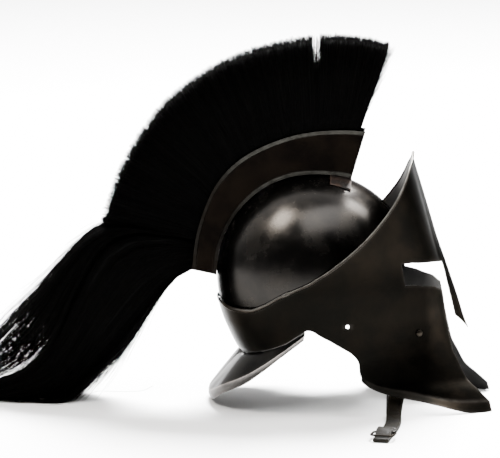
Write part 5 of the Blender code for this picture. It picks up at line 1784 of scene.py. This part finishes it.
def tailBody():
    # Strands pressed to the dense inside, all round it
    body = hairTail["body"]
    count = body["strands"]
    s = strandRuns("body")
    turn = chance.uniform(0, 2 * math.pi, (count, 1))
    size = (body["size"] - body["inward"] * chance.uniform(0, 1, (count, 1)) ** 2) * tailRibs(s, turn)
    level, side = tailSection(s, turn, size, body)
    lock = (turn[:, 0] / (2 * math.pi) * body["locks"]).astype(int)
    return tailBundle("body", s, level, side, lock)


def lockSides(settings, lock):
    # One chance side for each lock, and a little more for each of its strands
    sides = chance.uniform(-settings["across"], settings["across"], settings["locks"])
    return sides[lock][:, None] + settings["spread"] * chance.normal(0, 1, (len(lock), 1))


def tailFree():
    # Locks that leave the dense inside one after another and run on above it, each spreading at its end
    free = hairTail["free"]
    lock = chance.integers(0, free["locks"], free["strands"])
    s = strandRuns("free")
    height = (chance.uniform(0, 1, free["locks"]) ** free["heightPower"])[lock][:, None]
    spread = free["rise"] * chance.normal(0, 1, (len(lock), 1)) * s
    side = lockSides(free, lock) + 0 * s
    level = np.minimum(denseLevel(s, 1.0 + 0 * s, height) + spread, free["top"])
    return tailBundle("free", s, level, side, lock)


def tailLow():
    # Locks whose tips hang out below
    low = hairTail["low"]
    lock = chance.integers(0, low["locks"], low["strands"])
    s = strandRuns("low")
    hang = chance.exponential(low["lockHang"], low["locks"])[lock]
    hang = (hang + chance.exponential(low["hang"], len(lock)))[:, None]
    side = lockSides(low, lock) * (1 - low["narrow"] * s)
    part = np.linspace(0, 1, low["steps"])
    return tailBundle("low", s, low["level"] - hang * part ** low["hangPower"], side, lock)


def tailHairs():
    # Single hairs that leave both edges
    edges = hairTail["edges"]
    count = edges["strands"]
    upper = chance.uniform(0, 1, count) < edges["upperShare"]
    s = strandRuns("edges")
    part = np.linspace(0, 1, edges["steps"])[:, None]
    reach = np.abs(chance.normal(0, 1, count)) * part ** edges["power"]
    high, low = (level + out * reach for level, out in (edges["upper"], edges["lower"]))
    side = chance.uniform(-edges["across"], edges["across"], (count, 1)) + 0 * s
    lock = chance.integers(0, edges["locks"], count)
    return tailBundle("edges", s, np.where(upper, high, low).T, side, lock)


def tailTable():
    # Hairs that lie beside the tail's end on the table, three of four on the near side
    table = hairTail["table"]
    count = table["strands"]
    s = strandRuns("table")
    part = np.linspace(0, 1, table["steps"])
    out = chance.uniform(*table["out"], (count, 1)) + chance.exponential(table["drift"], (count, 1)) * part
    side = np.where(chance.uniform(0, 1, (count, 1)) < table["nearShare"], -1, 1) * out
    side = np.clip(side, -table["most"], table["most"])
    return tailBundle("table", s, -1.0 + 0 * s, side, chance.integers(0, table["locks"], count))


def floorHair():
    # One long hair on the table beside the tail
    hair = hairTail["floorHair"]
    steps = hair["steps"]
    return resampled(hair["path"], steps)[None], np.full((1, steps), hair["radius"]), np.array([hair["tone"]])


def makeTail():
    # The body is cut into three pieces of about equal size
    makeTailCore()
    body = tailBody()
    third = len(body[0]) // 3
    cuts = (slice(0, third), slice(third, 2 * third), slice(2 * third, None))
    for name, part in zip(("tailBodyA", "tailBodyB", "tailBodyC"), cuts):
        addStrands(name, [tuple(array[part] for array in body)], "tail", "plume_tail")
    addStrands("tailFree", [tailFree()], "tail", "plume_tail")
    loose = [tailLow(), tailHairs(), tailTable(), floorHair()]
    addStrands("tailEdges", loose, "tail", "plume_tail")


makeTail()
print("tail made")

# Floor, light and camera. A panel's azimuth runs from the viewer's side towards +X; its height is in degrees.
studio = {
    "floorColor": (0.95, 0.95, 0.95),
    "floorRoughness": 0.7,
    "floorSpecular": 0.2,
    "floorHalf": 9,
    "backColor": (2.2, 2.2, 2.2),
    "roomColor": (0.06, 0.058, 0.056),
    "towardsBack": (-0.15, 0.93, 0.33),
    "backShare": (0.05, 0.55),
    "target": (0.125, 0.06, 0.22),
    "panels": {
        "keyPanel": {"azimuth": -54, "height": 50, "distance": 2.2, "size": (0.62, 0.7), "power": 40,
                     "color": (1.0, 0.95, 0.88)},
        "frontPanel": {"azimuth": 94, "height": 53, "distance": 2.2, "size": (0.6, 0.7), "power": 60,
                       "color": (1.0, 0.98, 0.95)},
        "sidePanel": {"azimuth": 78, "height": 14, "distance": 2.4, "size": (0.7, 1.2), "power": 16},
        "topPanel": {"azimuth": 26, "height": 57, "distance": 2.4, "size": (2.4, 1.2), "power": 52},
        "backPanel": {"azimuth": 168, "height": 58, "distance": 4.5, "size": (2.2, 1.8), "power": 4000},
    },
}
camera = {
    "target": (0.0436, 0.0627, 0.208),
    "azimuth": 2.5,
    "level": 4.0,
    "height": 0.9,
    "widthSeen": 0.6,
    "sensor": 36.0,
    "clipEnd": 50.0,
}


def makeFloor():
    half = studio["floorHalf"]
    mesh = bpy.data.meshes.new("floor")
    corners = [(-half, -half, 0), (half, -half, 0), (half, half, 0), (-half, half, 0)]
    mesh.from_pydata(corners, [], [(0, 1, 2, 3)])
    floor = bpy.data.objects.new("floor", mesh)
    bpy.context.scene.collection.objects.link(floor)
    material = bpy.data.materials.new("paleFloor")
    material.use_nodes = True
    shader = material.node_tree.nodes["Principled BSDF"]
    shader.inputs["Base Color"].default_value = (*studio["floorColor"], 1.0)
    shader.inputs["Roughness"].default_value = studio["floorRoughness"]
    shader.inputs["Specular IOR Level"].default_value = studio["floorSpecular"]
    mesh.materials.append(material)


def makeWorld():
    # White behind the helmet and above, dark room on the viewer's side
    world = bpy.data.worlds.new("studio")
    world.use_nodes = True
    bpy.context.scene.world = world
    tree = world.node_tree
    direction = addNode(tree, "ShaderNodeTexCoord").outputs["Generated"]
    split = tree.nodes.new("ShaderNodeVectorMath")
    split.operation = "DOT_PRODUCT"
    split.inputs[1].default_value = studio["towardsBack"]
    tree.links.new(direction, split.inputs[0])
    share = mapRange(tree, split.outputs["Value"], *studio["backShare"])
    color = mixColors(tree, share, studio["roomColor"], studio["backColor"])
    tree.links.new(color, tree.nodes["Background"].inputs["Color"])


def placeFacing(item, target, back):
    # Moved from the target by back, looking at the target
    bpy.context.scene.collection.objects.link(item)
    item.location = np.array(target) + back
    item.rotation_euler = Vector(back).to_track_quat("Z", "Y").to_euler()


def addPanel(name, panel):
    # Placed on a sphere round the target, white where it names no colour
    turn, lift = math.radians(panel["azimuth"]), math.radians(panel["height"])
    back = np.array([math.sin(turn) * math.cos(lift), -math.cos(turn) * math.cos(lift), math.sin(lift)])
    light = bpy.data.lights.new(name, "AREA")
    light.shape = "RECTANGLE"
    light.size, light.size_y = panel["size"]
    light.energy = panel["power"]
    light.color = panel.get("color", (1.0, 1.0, 1.0))
    placeFacing(bpy.data.objects.new(name, light), studio["target"], back * panel["distance"])


def makeCamera():
    # Stands at its height above the table, and frames widthSeen metres at the target's distance
    data = bpy.data.cameras.new("camera")
    seen = bpy.data.objects.new("camera", data)
    turn = math.radians(camera["azimuth"])
    rise = camera["height"] - camera["target"][2]
    back = np.array([math.sin(turn) * camera["level"], -math.cos(turn) * camera["level"], rise])
    placeFacing(seen, camera["target"], back)
    data.sensor_width = camera["sensor"]
    data.lens = camera["sensor"] * float(np.linalg.norm(back)) / camera["widthSeen"]
    data.clip_end = camera["clipEnd"]
    bpy.context.scene.camera = seen


makeFloor()
makeWorld()
for panelName, panel in studio["panels"].items():
    addPanel(panelName, panel)
makeCamera()
print("studio ready")
